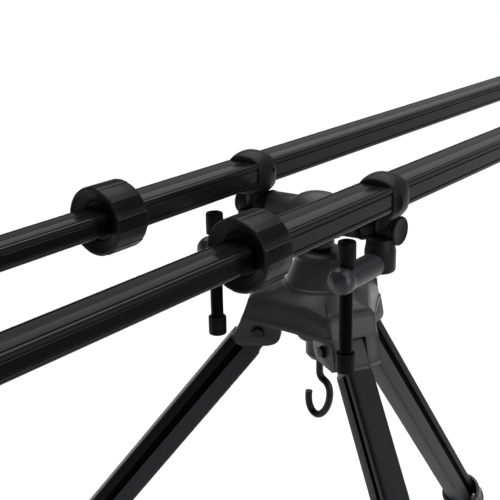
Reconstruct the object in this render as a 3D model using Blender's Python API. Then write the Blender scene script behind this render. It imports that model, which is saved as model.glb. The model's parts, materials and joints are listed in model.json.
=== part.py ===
"""Rod tripod: two telescopic rails on a tilting cross-arm head over a cast three-leg hub.

World frame: metres, +Z up, ground at z = 0, origin below the hub axis.
The rails run along X, left is +Y, right is -Y, the front ends of the rails point to -X.
"""
import math

import bmesh
import bpy
from mathutils import Matrix, Vector

MM = 0.001

# heights on the hub axis
PIVOT_Z = 410 * MM
RAIL_Z = PIVOT_Z + 125 * MM
ARM_Z = RAIL_Z - 29.5 * MM

# rails
RAIL_SPACING = 124.6 * MM
OUTER_W = 30 * MM
OUTER_H = 18 * MM
INNER_W = 24.2 * MM
INNER_H = 15.2 * MM
RAIL_END_X = 593 * MM
INNER_TAIL_X = 130 * MM
MOUTH_X = -164 * MM
COLLAR_X0 = -184 * MM
COLLAR_X1 = -157 * MM
COLLAR_R = 24.7 * MM

# cross arm and clamps
ARM_R = 12.2 * MM
ARM_END_Y = 43.2 * MM
WASHER_T = 3.0 * MM
BARREL_R = 11.6 * MM
BARREL_END_Y = 71.6 * MM
SHAFT_R = 7 * MM
SCREW_Z = RAIL_Z - 53 * MM
TEE_X = -57 * MM
LUG_X = -10 * MM
SEAT_X = LUG_X - 9 * MM
BALL_X = -7.9
BALL_R = 18.9
BALL_FRONT = -19.4
BALL_REAR = 3.0
BALL_Z = RAIL_Z - 2 * MM

# legs
LEG_TILT = math.radians(38)
PIVOT_R = 49 * MM
LEG_REACH = PIVOT_Z / math.cos(LEG_TILT)
LEG_T = 17.2 * MM
LEG_D = 24.6 * MM
SLOT_HALF = 9.2 * MM
EAR_HALF = 19.4 * MM
LEGS = {"rear": 0.0, "front_left": 120.0, "front_right": 240.0}
SIDES = {"left": 1, "right": -1}

GAP = 0.3 * MM


def clear_scene():
    for obj in list(bpy.data.objects):
        bpy.data.objects.remove(obj, do_unlink=True)
    for mesh in list(bpy.data.meshes):
        bpy.data.meshes.remove(mesh)


clear_scene()
scene = bpy.context.scene
parts = bpy.data.collections.new("rod_tripod")
tools = bpy.data.collections.new("cutters")
scene.collection.children.link(parts)
scene.collection.children.link(tools)


def material(name, grey, rough, metal):
    mat = bpy.data.materials.new(name)
    mat.use_nodes = True
    bsdf = mat.node_tree.nodes["Principled BSDF"]
    bsdf.inputs["Base Color"].default_value = (grey, grey, grey * 1.02, 1)
    bsdf.inputs["Roughness"].default_value = rough
    bsdf.inputs["Metallic"].default_value = metal
    mat.diffuse_color = (grey, grey, grey, 1)
    return mat


ANODISED = material("black_anodised_aluminium", 0.020, 0.35, 0.9)
CASTING = material("black_painted_casting", 0.024, 0.45, 0.3)
MOULDED = material("black_glass_filled_nylon", 0.022, 0.5, 0.0)
RUBBER = material("black_rubber", 0.015, 0.8, 0.0)
STEEL = material("black_zinc_steel", 0.045, 0.35, 0.9)


# construction helpers

def finish(name, mesh, mat, angle=32):
    """Link a mesh as one named part."""
    mesh.name = name
    mesh.polygons.foreach_set("use_smooth", [True] * len(mesh.polygons))
    mesh.set_sharp_from_angle(angle=math.radians(angle))
    mesh.materials.clear()
    mesh.materials.append(mat)
    obj = bpy.data.objects.new(name, mesh)
    parts.objects.link(obj)
    return obj


def evaluated_mesh(obj):
    """Mesh of an object with its modifiers or its curve fill applied."""
    graph = bpy.context.evaluated_depsgraph_get()
    graph.update()
    mesh = bpy.data.meshes.new_from_object(obj.evaluated_get(graph))
    work = bmesh.new()
    work.from_mesh(mesh)
    bmesh.ops.remove_doubles(work, verts=work.verts, dist=1e-6)
    bmesh.ops.recalc_face_normals(work, faces=work.faces)
    work.to_mesh(mesh)
    work.free()
    return mesh


def prism(outlines, depth, matrix):
    """Solid of one or more closed flat outlines, extruded by depth about its own plane."""
    curve = bpy.data.curves.new("outline", "CURVE")
    curve.dimensions = "2D"
    curve.fill_mode = "BOTH"
    curve.extrude = depth / 2
    for points in outlines:
        spline = curve.splines.new("POLY")
        spline.points.add(len(points) - 1)
        for point, (x, y) in zip(spline.points, points):
            point.co = (x, y, 0, 1)
        spline.use_cyclic_u = True
    obj = bpy.data.objects.new("outline", curve)
    tools.objects.link(obj)
    mesh = evaluated_mesh(obj)
    bpy.data.objects.remove(obj, do_unlink=True)
    mesh.transform(matrix)
    return mesh


def turned(profile, steps, matrix):
    """Solid turned about local Z from (radius, height) pairs, top to bottom on the outside."""
    work = bmesh.new()
    verts = [work.verts.new((r, 0, z)) for r, z in profile]
    edges = [work.edges.new(pair) for pair in zip(verts, verts[1:])]
    if profile[0] != profile[-1] and profile[0][0] > 0:
        edges.append(work.edges.new((verts[-1], verts[0])))
    bmesh.ops.spin(work, geom=verts + edges, cent=(0, 0, 0), axis=(0, 0, 1),
                   angle=math.tau, steps=steps)
    bmesh.ops.remove_doubles(work, verts=work.verts, dist=1e-6)
    bmesh.ops.dissolve_degenerate(work, edges=work.edges, dist=1e-7)
    bmesh.ops.recalc_face_normals(work, faces=work.faces)
    mesh = bpy.data.meshes.new("turned")
    work.to_mesh(mesh)
    work.free()
    mesh.transform(matrix)
    return mesh


def loft(rings):
    """Solid skinned through rings of equal point count, closed by flat caps."""
    work = bmesh.new()
    rows = [[work.verts.new(point) for point in ring] for ring in rings]
    count = len(rows[0])
    for upper, lower in zip(rows, rows[1:]):
        for i in range(count):
            j = (i + 1) % count
            work.faces.new((upper[i], lower[i], lower[j], upper[j]))
    work.faces.new(rows[0])
    work.faces.new(list(reversed(rows[-1])))
    bmesh.ops.recalc_face_normals(work, faces=work.faces)
    mesh = bpy.data.meshes.new("loft")
    work.to_mesh(mesh)
    work.free()
    return mesh


def swept(points, radius, sides):
    """Round wire along a smooth path, with flat ends."""
    curve = bpy.data.curves.new("wire", "CURVE")
    curve.dimensions = "3D"
    curve.bevel_depth = radius
    curve.bevel_resolution = sides
    curve.use_fill_caps = True
    spline = curve.splines.new("POLY")
    spline.points.add(len(points) - 1)
    for point, co in zip(spline.points, points):
        point.co = (*co, 1)
    obj = bpy.data.objects.new("wire", curve)
    tools.objects.link(obj)
    mesh = evaluated_mesh(obj)
    bpy.data.objects.remove(obj, do_unlink=True)
    return mesh


def combine(mesh, others, operation):
    """Boolean of a mesh with other meshes, one after the other."""
    for other in others:
        base = bpy.data.objects.new("base", mesh)
        tool = bpy.data.objects.new("tool", other)
        tool.hide_render = True
        tool.display_type = "WIRE"
        tools.objects.link(base)
        tools.objects.link(tool)
        cut = base.modifiers.new("cut", "BOOLEAN")
        cut.operation = operation
        cut.solver = "EXACT"
        cut.object = tool
        mesh = evaluated_mesh(base)
        bpy.data.objects.remove(base, do_unlink=True)
        bpy.data.objects.remove(tool, do_unlink=True)
    return mesh


def along_x(x, y=0.0, z=0.0):
    """Local Z to world X, local X to world Y, local Y to world Z."""
    turn = Matrix(((0, 0, 1), (1, 0, 0), (0, 1, 0))).to_4x4()
    return Matrix.Translation((x, y, z)) @ turn


def along_y(x, y=0.0, z=0.0, sign=1):
    """Local Z to world Y times sign, local X to world Z, local Y to world X times sign."""
    turn = Matrix(((0, sign, 0), (0, 0, sign), (1, 0, 0))).to_4x4()
    return Matrix.Translation((x, y, z)) @ turn


def rounded_rect(width, height, radius, steps=2):
    points = []
    for sx, sy, start in ((1, 1, 0), (-1, 1, 90), (-1, -1, 180), (1, -1, 270)):
        cx = sx * (width / 2 - radius)
        cy = sy * (height / 2 - radius)
        for i in range(steps + 1):
            a = math.radians(start + 90 * i / steps)
            points.append((cx + radius * math.cos(a), cy + radius * math.sin(a)))
    return points


def mirrored_quarter(quarter):
    """Closed outline from the points of its first quarter, listed from the x axis to the y axis."""
    right_top = list(quarter)
    left_top = [(-x, y) for x, y in reversed(quarter)]
    left_low = [(-x, -y) for x, y in quarter]
    right_low = [(x, -y) for x, y in reversed(quarter)]
    return right_top + left_top + left_low + right_low


def beaded_outline(width, height, top_groove, side_groove):
    """Flat tube outline with a rounded bead along each corner and a fine groove on both its sides."""
    a = width / 2
    b = height / 2
    r = top_groove * 0.78
    half = 0.65 * MM
    deep = 1.0 * MM
    quarter = [
        (a, b - side_groove - half),
        (a - deep, b - side_groove - half * 0.4),
        (a - deep, b - side_groove + half * 0.4),
        (a, b - side_groove + half),
    ]
    for i in range(4):
        t = math.radians(90 * i / 3)
        quarter.append((a - r + r * math.cos(t), b - r + r * math.sin(t)))
    quarter += [
        (a - top_groove + half * 0.4, b - deep),
        (a - top_groove - half * 0.4, b - deep),
        (a - top_groove - half, b),
    ]
    return mirrored_quarter(quarter)


def outer_rail_outline():
    return beaded_outline(OUTER_W, OUTER_H, 3.3 * MM, 4.1 * MM)


def inner_rail_outline():
    return beaded_outline(INNER_W, INNER_H, 2.8 * MM, 3.6 * MM)


# hub casting: bell, three-lobed skirt, forks and centre boss in one piece

def lobe_ring(reach, half_width, waist, z_end, z_corner, z_waist):
    """Three arms cut square at reach, joined by hollow webs that pass the axis at waist."""
    points = []
    corner_reach = reach - 1.2 * MM
    for arm in range(3):
        a0 = math.radians(120 * arm)
        a1 = math.radians(120 * (arm + 1))
        for i in range(END_STEPS + 1):
            t = 0.94 * half_width * (2 * i / END_STEPS - 1)
            points.append((reach * math.cos(a0) - t * math.sin(a0),
                           reach * math.sin(a0) + t * math.cos(a0), z_end))
        start = Vector((corner_reach * math.cos(a0) - half_width * math.sin(a0),
                        corner_reach * math.sin(a0) + half_width * math.cos(a0)))
        end = Vector((corner_reach * math.cos(a1) + half_width * math.sin(a1),
                      corner_reach * math.sin(a1) - half_width * math.cos(a1)))
        middle = (start + end) / 2
        inward = -middle.normalized() * (middle.length - waist)
        for i in range(WEB_STEPS + 1):
            u = i / WEB_STEPS
            point = start.lerp(end, u) + inward * 4 * u * (1 - u)
            points.append((point.x, point.y, z_waist + (z_corner - z_waist) * (2 * u - 1) ** 2))
    return points


def circle_like(outline, radius, z):
    return [(radius * x / math.hypot(x, y), radius * y / math.hypot(x, y), z)
            for x, y, _ in outline]


def blend(ring_a, ring_b, mix, rise):
    """Ring between two others, lifted or sunk by rise."""
    return [tuple(Vector(a).lerp(Vector(b), mix) + Vector((0, 0, rise)))
            for a, b in zip(ring_a, ring_b)]


HUB_TOP = RAIL_Z - 57.5 * MM
SHOULDER = RAIL_Z - 91.6 * MM
LIP = RAIL_Z - 112 * MM
SKIRT_LOW = RAIL_Z - 114.8 * MM
BOSS_LOW = RAIL_Z - 134 * MM
END_STEPS = 4
WEB_STEPS = 7


def hub_mesh():
    shoulder = lobe_ring(54.6 * MM, 20.6 * MM, 40.6 * MM, SHOULDER, SHOULDER - 0.6 * MM, SHOULDER)
    brow = lobe_ring(55.9 * MM, 21.4 * MM, 42.0 * MM, SHOULDER - 1.6 * MM, SHOULDER - 6.9 * MM,
                     SHOULDER - 2.2 * MM)
    hem = lobe_ring(61.4 * MM, 20.6 * MM, 45.2 * MM, LIP + 0.8 * MM, LIP + 0.8 * MM, LIP + 0.8 * MM)
    lip = lobe_ring(62.4 * MM, 21.4 * MM, 46.2 * MM, LIP, LIP, LIP)
    low = lobe_ring(62.9 * MM, 21.4 * MM, 46.2 * MM, SKIRT_LOW, SKIRT_LOW, SKIRT_LOW)
    bell = [(17.2, 0), (20.6, 3.2), (20.9, 5.4), (20.3, 6.4), (21.0, 8.2), (22.3, 11.5),
            (24.2, 16.0), (26.2, 21.0), (28.3, 26.4), (29.6, 27.4), (30.6, 29.2)]
    rings = [circle_like(shoulder, r * MM, HUB_TOP - drop * MM) for r, drop in bell]
    foot_ring = rings[-1]
    rings.append(blend(foot_ring, shoulder, 0.30, -0.7 * MM))
    rings.append(blend(foot_ring, shoulder, 0.66, -0.7 * MM))
    rings += [shoulder, brow, hem, lip, low]
    body = loft(rings)
    ears = []
    for degrees in LEGS.values():
        side = [(61.6, -112.8), (67.8, -132.8), (66.2, -136), (40, -136), (35.5, -134.6),
                (32.0, -131.0), (30.4, -127), (30.4, -112.8)]
        outline = [(r * MM, z * MM + RAIL_Z) for r, z in reversed(side)]
        upright = Matrix(((1, 0, 0), (0, 0, -1), (0, 1, 0))).to_4x4()
        turn = Matrix.Rotation(math.radians(degrees), 4, "Z")
        ears.append(prism([outline], 2 * EAR_HALF, turn @ upright))
    boss = turned([(0, BOSS_LOW + 24 * MM), (19.5 * MM, BOSS_LOW + 24 * MM),
                   (19.5 * MM, BOSS_LOW + 2 * MM), (17.5 * MM, BOSS_LOW), (0, BOSS_LOW)], 32,
                  Matrix.Identity(4))
    body = combine(body, ears + [boss], "UNION")
    cuts = []
    for degrees in LEGS.values():
        turn = Matrix.Rotation(math.radians(degrees), 4, "Z")
        slot = bmesh.new()
        bmesh.ops.create_cube(slot, size=1.0)
        mesh = bpy.data.meshes.new("slot")
        slot.to_mesh(mesh)
        slot.free()
        mesh.transform(turn @ Matrix.Translation((60 * MM, 0, RAIL_Z - 132 * MM))
                       @ Matrix.Diagonal((52 * MM, 2 * SLOT_HALF, 40 * MM, 1)))
        cuts.append(mesh)
        bore = turned([(0, 30 * MM), (3.3 * MM, 30 * MM), (3.3 * MM, -30 * MM), (0, -30 * MM)], 16,
                      turn @ along_y(PIVOT_R, 0, PIVOT_Z))
        cuts.append(bore)
        pocket_outline = [(x + 24 * MM, y) for x, y in rounded_rect(15 * MM, 26 * MM, 5 * MM)]
        half = Matrix.Rotation(math.radians(degrees + 60), 4, "Z")
        cuts.append(prism([pocket_outline], 20 * MM,
                          half @ Matrix.Translation((6 * MM, 0, SKIRT_LOW))))
    cuts.append(turned([(0, 1 * MM), (9.1 * MM, 1 * MM), (9.1 * MM, -28 * MM), (0, -28 * MM)], 32,
                       Matrix.Translation((0, 0, HUB_TOP))))
    cuts.append(turned([(0, 16 * MM), (2.6 * MM, 16 * MM), (2.6 * MM, -1 * MM), (0, -1 * MM)], 16,
                       Matrix.Translation((0, 0, BOSS_LOW))))
    return combine(body, cuts, "DIFFERENCE")


finish("hub_casting", hub_mesh(), CASTING, 35)


# weight hook: bent wire screwed up into the boss

def hook_mesh():
    z = [(0, -120), (0, -165), (-0.5, -169.5), (-2.6, -172.6), (-6.0, -174.6), (-8.6, -177.4),
         (-10.2, -182), (-10.3, -188), (-9.0, -194.4), (-6.2, -200.8), (-2.2, -205.8),
         (2.6, -208.0), (7.4, -206.0), (10.2, -201.0), (11.2, -195), (10.9, -188.2)]
    return swept([(0, y * MM, RAIL_Z + h * MM) for y, h in z], 2.3 * MM, 2)


finish("weight_hook", hook_mesh(), STEEL, 50)


# swivel head: rounded body, cross arms with stub shafts and the neck that turns in the bell

def head_mesh():
    dome = []
    for i in range(11):
        t = math.pi * i / 10
        y = 27.5 * math.cos(t)
        r = 19.6 * math.sin(t) ** 0.78
        dome.append((r * MM, y * MM))
    dome[0] = (0, 27.5 * MM)
    dome[-1] = (0, -27.5 * MM)
    body = turned(dome, 20, along_y(0, 0, ARM_Z))
    end = ARM_END_Y
    tip = BARREL_END_Y - 0.8 * MM
    arm = turned([(0, tip), (SHAFT_R - 1 * MM, tip), (SHAFT_R, tip - 1 * MM), (SHAFT_R, end),
                  (ARM_R - 0.8 * MM, end), (ARM_R, end - 0.8 * MM), (ARM_R + 0.9 * MM, 20 * MM),
                  (ARM_R + 0.9 * MM, -20 * MM), (ARM_R, -end + 0.8 * MM), (ARM_R - 0.8 * MM, -end),
                  (SHAFT_R, -end), (SHAFT_R, -tip + 1 * MM), (SHAFT_R - 1 * MM, -tip), (0, -tip)],
                 20, along_y(0, 0, ARM_Z))
    neck = turned([(0, ARM_Z), (8.8 * MM, ARM_Z), (8.8 * MM, HUB_TOP - 27 * MM),
                   (0, HUB_TOP - 27 * MM)], 24, Matrix.Identity(4))
    return combine(body, [arm, neck], "UNION")


finish("swivel_head", head_mesh(), CASTING, 35)


# rail clamps: ring round the rail, stem, barrel on the arm and lug for the locking screw

def ring_mesh(y):
    """Ball round the rail, cut square at both ends and squarer there than at its middle."""
    rings = []
    for x in (BALL_FRONT, BALL_FRONT + 0.6, -16, -12, -7.9, -3.6, 0, BALL_REAR - 0.7, BALL_REAR):
        off = (x - BALL_X) / BALL_R
        swell = math.sqrt(1 - off * off)
        tall = BALL_R * swell
        wide = 7 + 12 * swell
        power = 2.3 + 3.0 * off * off
        if x in (BALL_FRONT, BALL_REAR):
            tall -= 0.7
            wide -= 0.7
            power += 0.7
        ring = []
        for i in range(28):
            a = math.tau * i / 28
            c = math.cos(a)
            s = math.sin(a)
            k = (abs(c) ** power + abs(s) ** power) ** (-1 / power)
            ring.append((x * MM, y + wide * k * c * MM, BALL_Z + tall * k * s * MM))
        rings.append(ring)
    return loft(rings)


def clamp_mesh(sign):
    y = sign * RAIL_SPACING / 2
    start = ARM_END_Y + WASHER_T + 2 * GAP
    end = BARREL_END_Y
    waist = (start + end) / 2
    barrel = turned([(0, end), (BARREL_R - 0.5 * MM, end), (BARREL_R, end - 0.8 * MM),
                     (BARREL_R, waist + 3.2 * MM), (BARREL_R - 2.2 * MM, waist + 1.2 * MM),
                     (BARREL_R - 2.2 * MM, waist - 1.2 * MM), (BARREL_R, waist - 3.2 * MM),
                     (BARREL_R, start + 0.8 * MM), (BARREL_R - 0.5 * MM, start), (0, start)],
                    20, along_y(0, 0, ARM_Z, sign))
    stem = turned([(0, RAIL_Z), (7.5 * MM, RAIL_Z), (7.5 * MM, ARM_Z), (0, ARM_Z)], 12,
                  Matrix.Translation((-4.8 * MM, y, 0)))
    lug = turned([(0, RAIL_Z - 34 * MM), (10.9 * MM, RAIL_Z - 34 * MM),
                  (11.6 * MM, RAIL_Z - 41 * MM), (12.2 * MM, RAIL_Z - 43.6 * MM),
                  (12.2 * MM, RAIL_Z - 58.4 * MM),
                  (10.6 * MM, RAIL_Z - 60.6 * MM), (0, RAIL_Z - 60.6 * MM)], 20,
                 Matrix.Translation((LUG_X, y, 0)))
    body = combine(ring_mesh(y), [barrel, stem, lug], "UNION")
    aperture = rounded_rect(OUTER_W + 2 * GAP, OUTER_H + 2 * GAP, 1.9 * MM)
    rail = prism([aperture], 60 * MM, along_x(0, y, RAIL_Z))
    bore = turned([(0, 80 * MM), (SHAFT_R + GAP, 80 * MM), (SHAFT_R + GAP, 40 * MM), (0, 40 * MM)],
                  20, along_y(0, 0, ARM_Z, sign))
    screw_hole = turned([(0, -4 * MM), (4.3 * MM, -4 * MM), (4.3 * MM, SEAT_X + GAP),
                         (9.9 * MM, SEAT_X + GAP), (9.9 * MM, -30 * MM), (0, -30 * MM)], 20,
                        along_x(0, y, SCREW_Z))
    grub_hole = turned([(0, 8 * MM), (1.7 * MM, 8 * MM), (1.7 * MM, 0), (0, 0)], 10,
                       along_y(-3 * MM, y - (OUTER_W / 2 + 0.8 * MM), RAIL_Z + 1 * MM, -1))
    cap_room = turned([(0, end + 12 * MM), (11.8 * MM, end + 12 * MM), (11.8 * MM, end), (0, end)],
                      20, along_y(0, 0, ARM_Z, sign))
    return combine(body, [rail, bore, screw_hole, grub_hole, cap_room], "DIFFERENCE")


# one quarter of the collar's grip: pad, band, ribbed land, groove, flute, ribbed land, band
GRIP = ((0, 24.3), (8, 24.4), (16.3, 24.4), (24.3, 24.3), (25.4, 24.7), (32.7, 24.7), (41, 24.7),
        (49.4, 24.7), (50.4, 23.8), (56, 24.0), (61, 24.7), (68, 24.7), (75.7, 24.7), (83.4, 24.7),
        (89, 24.7))
COLLAR_TURN = {"left": 105.9, "right": 99.6}


def collar_mesh(y0, turn):
    """Ring of one closed section whose outer radius follows the grip round the axis."""
    front = COLLAR_X0
    rr = COLLAR_R
    seat = 18 * MM
    section = [(rr - 0.8 * MM, COLLAR_X1), (rr, COLLAR_X1 - 0.8 * MM), (rr, front + 1.8 * MM),
               (rr - 0.5 * MM, front + 0.5 * MM), (rr - 1.6 * MM, front), (rr - 3.6 * MM, front + 0.5 * MM),
               (14.2 * MM, front + 4.4 * MM), (14.2 * MM, MOUTH_X - 3 * MM),
               (seat, MOUTH_X - 3 * MM), (seat, COLLAR_X1)]
    work = bmesh.new()
    rows = []
    for quarter in range(4):
        for degrees, limit in GRIP:
            a = math.radians(turn + 90 * quarter + degrees)
            row = []
            for r, x in section:
                r = min(r, limit * MM)
                row.append(work.verts.new((x, y0 + r * math.cos(a), RAIL_Z + r * math.sin(a))))
            rows.append(row)
    for row, after in zip(rows, rows[1:] + rows[:1]):
        for i in range(len(section)):
            j = (i + 1) % len(section)
            work.faces.new((row[i], row[j], after[j], after[i]))
    bmesh.ops.recalc_face_normals(work, faces=work.faces)
    mesh = bpy.data.meshes.new("collar")
    work.to_mesh(mesh)
    work.free()
    return mesh


for side, sign in SIDES.items():
    y0 = sign * RAIL_SPACING / 2
    finish(f"rail_clamp_{side}", clamp_mesh(sign), MOULDED, 40)

    # friction washer between arm end and barrel
    w0 = ARM_END_Y + GAP
    w1 = w0 + WASHER_T
    washer = turned([(SHAFT_R + GAP, w1), (ARM_R, w1), (ARM_R + 0.5 * MM, w1 - 0.6 * MM),
                     (ARM_R + 0.5 * MM, w0 + 0.6 * MM), (ARM_R, w0), (SHAFT_R + GAP, w0)], 20,
                    along_y(0, 0, ARM_Z, sign))
    finish(f"friction_washer_{side}", washer, RUBBER)

    # end cap over the stub shaft
    c0 = BARREL_END_Y + GAP
    cap = turned([(0, c0 + 2.6 * MM), (10.4 * MM, c0 + 2.6 * MM), (11.4 * MM, c0 + 1.8 * MM),
                  (11.4 * MM, c0), (0, c0)], 24, along_y(0, 0, ARM_Z, sign))
    finish(f"clamp_end_cap_{side}", cap, MOULDED)

    # locking screw: threaded shank, sleeve and ball head with a cross hole
    ball_x = -63 * MM
    profile = [(0, ball_x - 10.6 * MM)]
    for i in range(1, 7):
        t = math.radians(-90 + 90 * i / 7)
        profile.append((10.6 * MM * math.cos(t), ball_x + 10.6 * MM * math.sin(t)))
    profile += [(10.6 * MM, ball_x), (10.2 * MM, ball_x + 5 * MM), (9.6 * MM, ball_x + 8 * MM),
                (9.6 * MM, SEAT_X), (4 * MM, SEAT_X), (4 * MM, -6 * MM), (0, -5 * MM)]
    screw = turned(list(reversed(profile)), 20, along_x(0, y0, SCREW_Z))
    hole = turned([(0, 14 * MM), (4.9 * MM, 14 * MM), (4.9 * MM, -14 * MM), (0, -14 * MM)], 16,
                  Matrix.Translation((TEE_X, y0, SCREW_Z)))
    finish(f"clamp_screw_{side}", combine(screw, [hole], "DIFFERENCE"), ANODISED, 40)

    # sliding tee bar with a cap on each end
    bar = turned([(0, -30 * MM), (4.2 * MM, -30 * MM), (4.6 * MM, -30.6 * MM),
                  (4.6 * MM, -124.4 * MM), (4.2 * MM, -125 * MM), (0, -125 * MM)], 16,
                 Matrix.Translation((TEE_X, y0, RAIL_Z)))
    finish(f"tee_bar_{side}", bar, ANODISED)
    top = turned([(3.2 * MM, -24 * MM), (5.6 * MM, -24 * MM), (6.6 * MM, -25.4 * MM),
                  (6.6 * MM, -41.6 * MM), (4.9 * MM, -41.6 * MM), (4.9 * MM, -29 * MM),
                  (3.2 * MM, -29 * MM)], 18, Matrix.Translation((TEE_X, y0, RAIL_Z)))
    finish(f"tee_bar_top_cap_{side}", top, RUBBER)
    low = turned([(4.9 * MM, -112 * MM), (6.2 * MM, -112 * MM), (6.7 * MM, -112.8 * MM),
                  (6.7 * MM, -126.4 * MM), (5.8 * MM, -127.5 * MM), (0, -127.5 * MM),
                  (0, -125.3 * MM), (4.9 * MM, -125.3 * MM)], 18,
                 Matrix.Translation((TEE_X, y0, RAIL_Z)))
    finish(f"tee_bar_bottom_cap_{side}", low, RUBBER)

    # outer rail, hollow right through
    length = RAIL_END_X - MOUTH_X
    hollow = rounded_rect(INNER_W + 0.6 * MM, INNER_H + 0.6 * MM, 1 * MM, 1)
    rail = prism([outer_rail_outline(), hollow], length,
                 along_x((RAIL_END_X + MOUTH_X) / 2, y0, RAIL_Z))
    finish(f"outer_rail_{side}", rail, ANODISED)

    # inner rail, hollow, drawn out of the front mouth
    inner_x0 = -RAIL_END_X
    inner_x1 = INNER_TAIL_X
    hollow = rounded_rect(INNER_W - 4 * MM, INNER_H - 4 * MM, 1.5 * MM, 1)
    rail = prism([inner_rail_outline(), hollow], inner_x1 - inner_x0,
                 along_x((inner_x1 + inner_x0) / 2, y0, RAIL_Z))
    finish(f"inner_rail_{side}", rail, ANODISED)

    # twist collar: dished front, round aperture, body over the mouth of the outer rail
    finish(f"twist_collar_{side}", collar_mesh(y0, COLLAR_TURN[side]), MOULDED)

    # split collet on the mouth of the outer rail, which the collar closes round
    circle = [(17.7 * MM * math.cos(math.tau * i / 32), 17.7 * MM * math.sin(math.tau * i / 32))
              for i in range(32)]
    hole = rounded_rect(OUTER_W + 2 * GAP, OUTER_H + 2 * GAP, 1.9 * MM)
    collet = prism([circle, hole], 9 * MM, along_x(MOUTH_X + 1.9 * MM, y0, RAIL_Z))
    finish(f"mouth_collet_{side}", collet, MOULDED)


# cross bars that join the rail ends, with thumb screws and threaded rod-rest studs

BAR_X = RAIL_END_X + 10 * MM
BAR_HALF = 120 * MM
BAR_H = 20 * MM
STUD_Y = {"left": 100 * MM, "middle": 0.0, "right": -100 * MM}


def box(cx, cy, cz, sx, sy, sz, bevel):
    work = bmesh.new()
    bmesh.ops.create_cube(work, size=1.0)
    bmesh.ops.scale(work, vec=(sx, sy, sz), verts=work.verts)
    bmesh.ops.translate(work, vec=(cx, cy, cz), verts=work.verts)
    if bevel > 0:
        bmesh.ops.bevel(work, geom=work.edges, offset=bevel, segments=1, profile=0.5,
                        affect="EDGES")
    mesh = bpy.data.meshes.new("box")
    work.to_mesh(mesh)
    work.free()
    return mesh


def cross_bar_mesh(end, rail_w, rail_h):
    """Bar along Y with a socket block over each rail end; end is -1 at the front, 1 at the rear."""
    bar = prism([rounded_rect(18 * MM, BAR_H, 4 * MM)], 2 * BAR_HALF,
                Matrix(((1, 0, 0, end * BAR_X), (0, 0, -1, 0), (0, 1, 0, RAIL_Z), (0, 0, 0, 1))))
    blocks = []
    cuts = []
    for sign in SIDES.values():
        y = sign * RAIL_SPACING / 2
        blocks.append(box(end * (BAR_X - 20 * MM), y, RAIL_Z, 40 * MM, rail_w + 6 * MM,
                          rail_h + 6 * MM, 1.6 * MM))
        cuts.append(box(end * (RAIL_END_X - 25 * MM), y, RAIL_Z, 50 * MM + 2 * GAP,
                        rail_w + 2 * GAP, rail_h + 2 * GAP, 0))
        cuts.append(turned([(0, -1 * MM), (3.3 * MM, -1 * MM), (3.3 * MM, -20 * MM),
                            (0, -20 * MM)], 16,
                           Matrix.Translation((end * (RAIL_END_X - 12 * MM), y, RAIL_Z))))
    for y in STUD_Y.values():
        cuts.append(turned([(0, 12 * MM), (5.3 * MM, 12 * MM), (5.3 * MM, -12 * MM),
                            (0, -12 * MM)], 10, Matrix.Translation((end * BAR_X, y, RAIL_Z))))
    return combine(combine(bar, blocks, "UNION"), cuts, "DIFFERENCE")


for place, end, rail_w, rail_h in (("front", -1, INNER_W, INNER_H), ("rear", 1, OUTER_W, OUTER_H)):
    finish(f"{place}_cross_bar", cross_bar_mesh(end, rail_w, rail_h), ANODISED)
    for side, y in STUD_Y.items():
        top = BAR_H / 2 + GAP
        stud = turned([(4 * MM, top + 9 * MM), (7 * MM, top + 9 * MM), (7.6 * MM, top + 8.4 * MM),
                       (7.6 * MM, top + 4.6 * MM), (9.6 * MM, top + 4 * MM),
                       (9.6 * MM, top + 0.6 * MM), (9 * MM, top), (5 * MM, top),
                       (5 * MM, -BAR_H / 2), (0, -BAR_H / 2), (0, -2 * MM), (4 * MM, -2 * MM)],
                      10, Matrix.Translation((end * BAR_X, y, RAIL_Z)))
        finish(f"rod_rest_stud_{place}_{side}", stud, STEEL)
    for side, sign in SIDES.items():
        z = -rail_h / 2 - GAP
        knob_top = -rail_h / 2 - 3 * MM - GAP
        screw = turned([(0, z), (3 * MM, z), (3 * MM, knob_top), (7 * MM, knob_top),
                        (8 * MM, knob_top - 1 * MM), (8 * MM, knob_top - 9 * MM),
                        (7 * MM, knob_top - 10 * MM), (0, knob_top - 10 * MM)], 14,
                       Matrix.Translation((end * (RAIL_END_X - 12 * MM),
                                           sign * RAIL_SPACING / 2, RAIL_Z)))
        finish(f"bar_thumb_screw_{place}_{side}", screw, MOULDED)


# legs: local frame with X outward across the leg, Y along the pivot, Z up the leg from the pivot

KNUCKLE_LOW = -22.5 * MM
TUBE_LOW = -400 * MM
LOCK_TOP = -384 * MM
LOCK_LOW = -410 * MM
INNER_TOP = -300 * MM
INNER_LOW = -LEG_REACH + 16 * MM
INNER_T = 12.8 * MM
INNER_D = 19.6 * MM


def leg_matrix(degrees):
    turn = Matrix.Rotation(math.radians(degrees), 4, "Z")
    lean = Matrix.Rotation(-LEG_TILT, 4, "Y")
    return turn @ Matrix.Translation((PIVOT_R, 0, PIVOT_Z)) @ lean


def leg_outline():
    """Upright oblong section with a wide shallow channel down each flank."""
    a = LEG_D / 2
    b = LEG_T / 2
    lobe = 7.2 * MM
    sink = 1.3 * MM
    r = 3.6 * MM
    quarter = []
    for i in range(5):
        t = math.radians(90 * i / 4)
        quarter.append((a - r + r * math.cos(t), b - r + r * math.sin(t)))
    quarter += [(a - lobe + 0.8 * MM, b), (a - lobe, b - 0.5 * MM), (a - lobe - 0.5 * MM, b - sink)]
    return mirrored_quarter(quarter)


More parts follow.
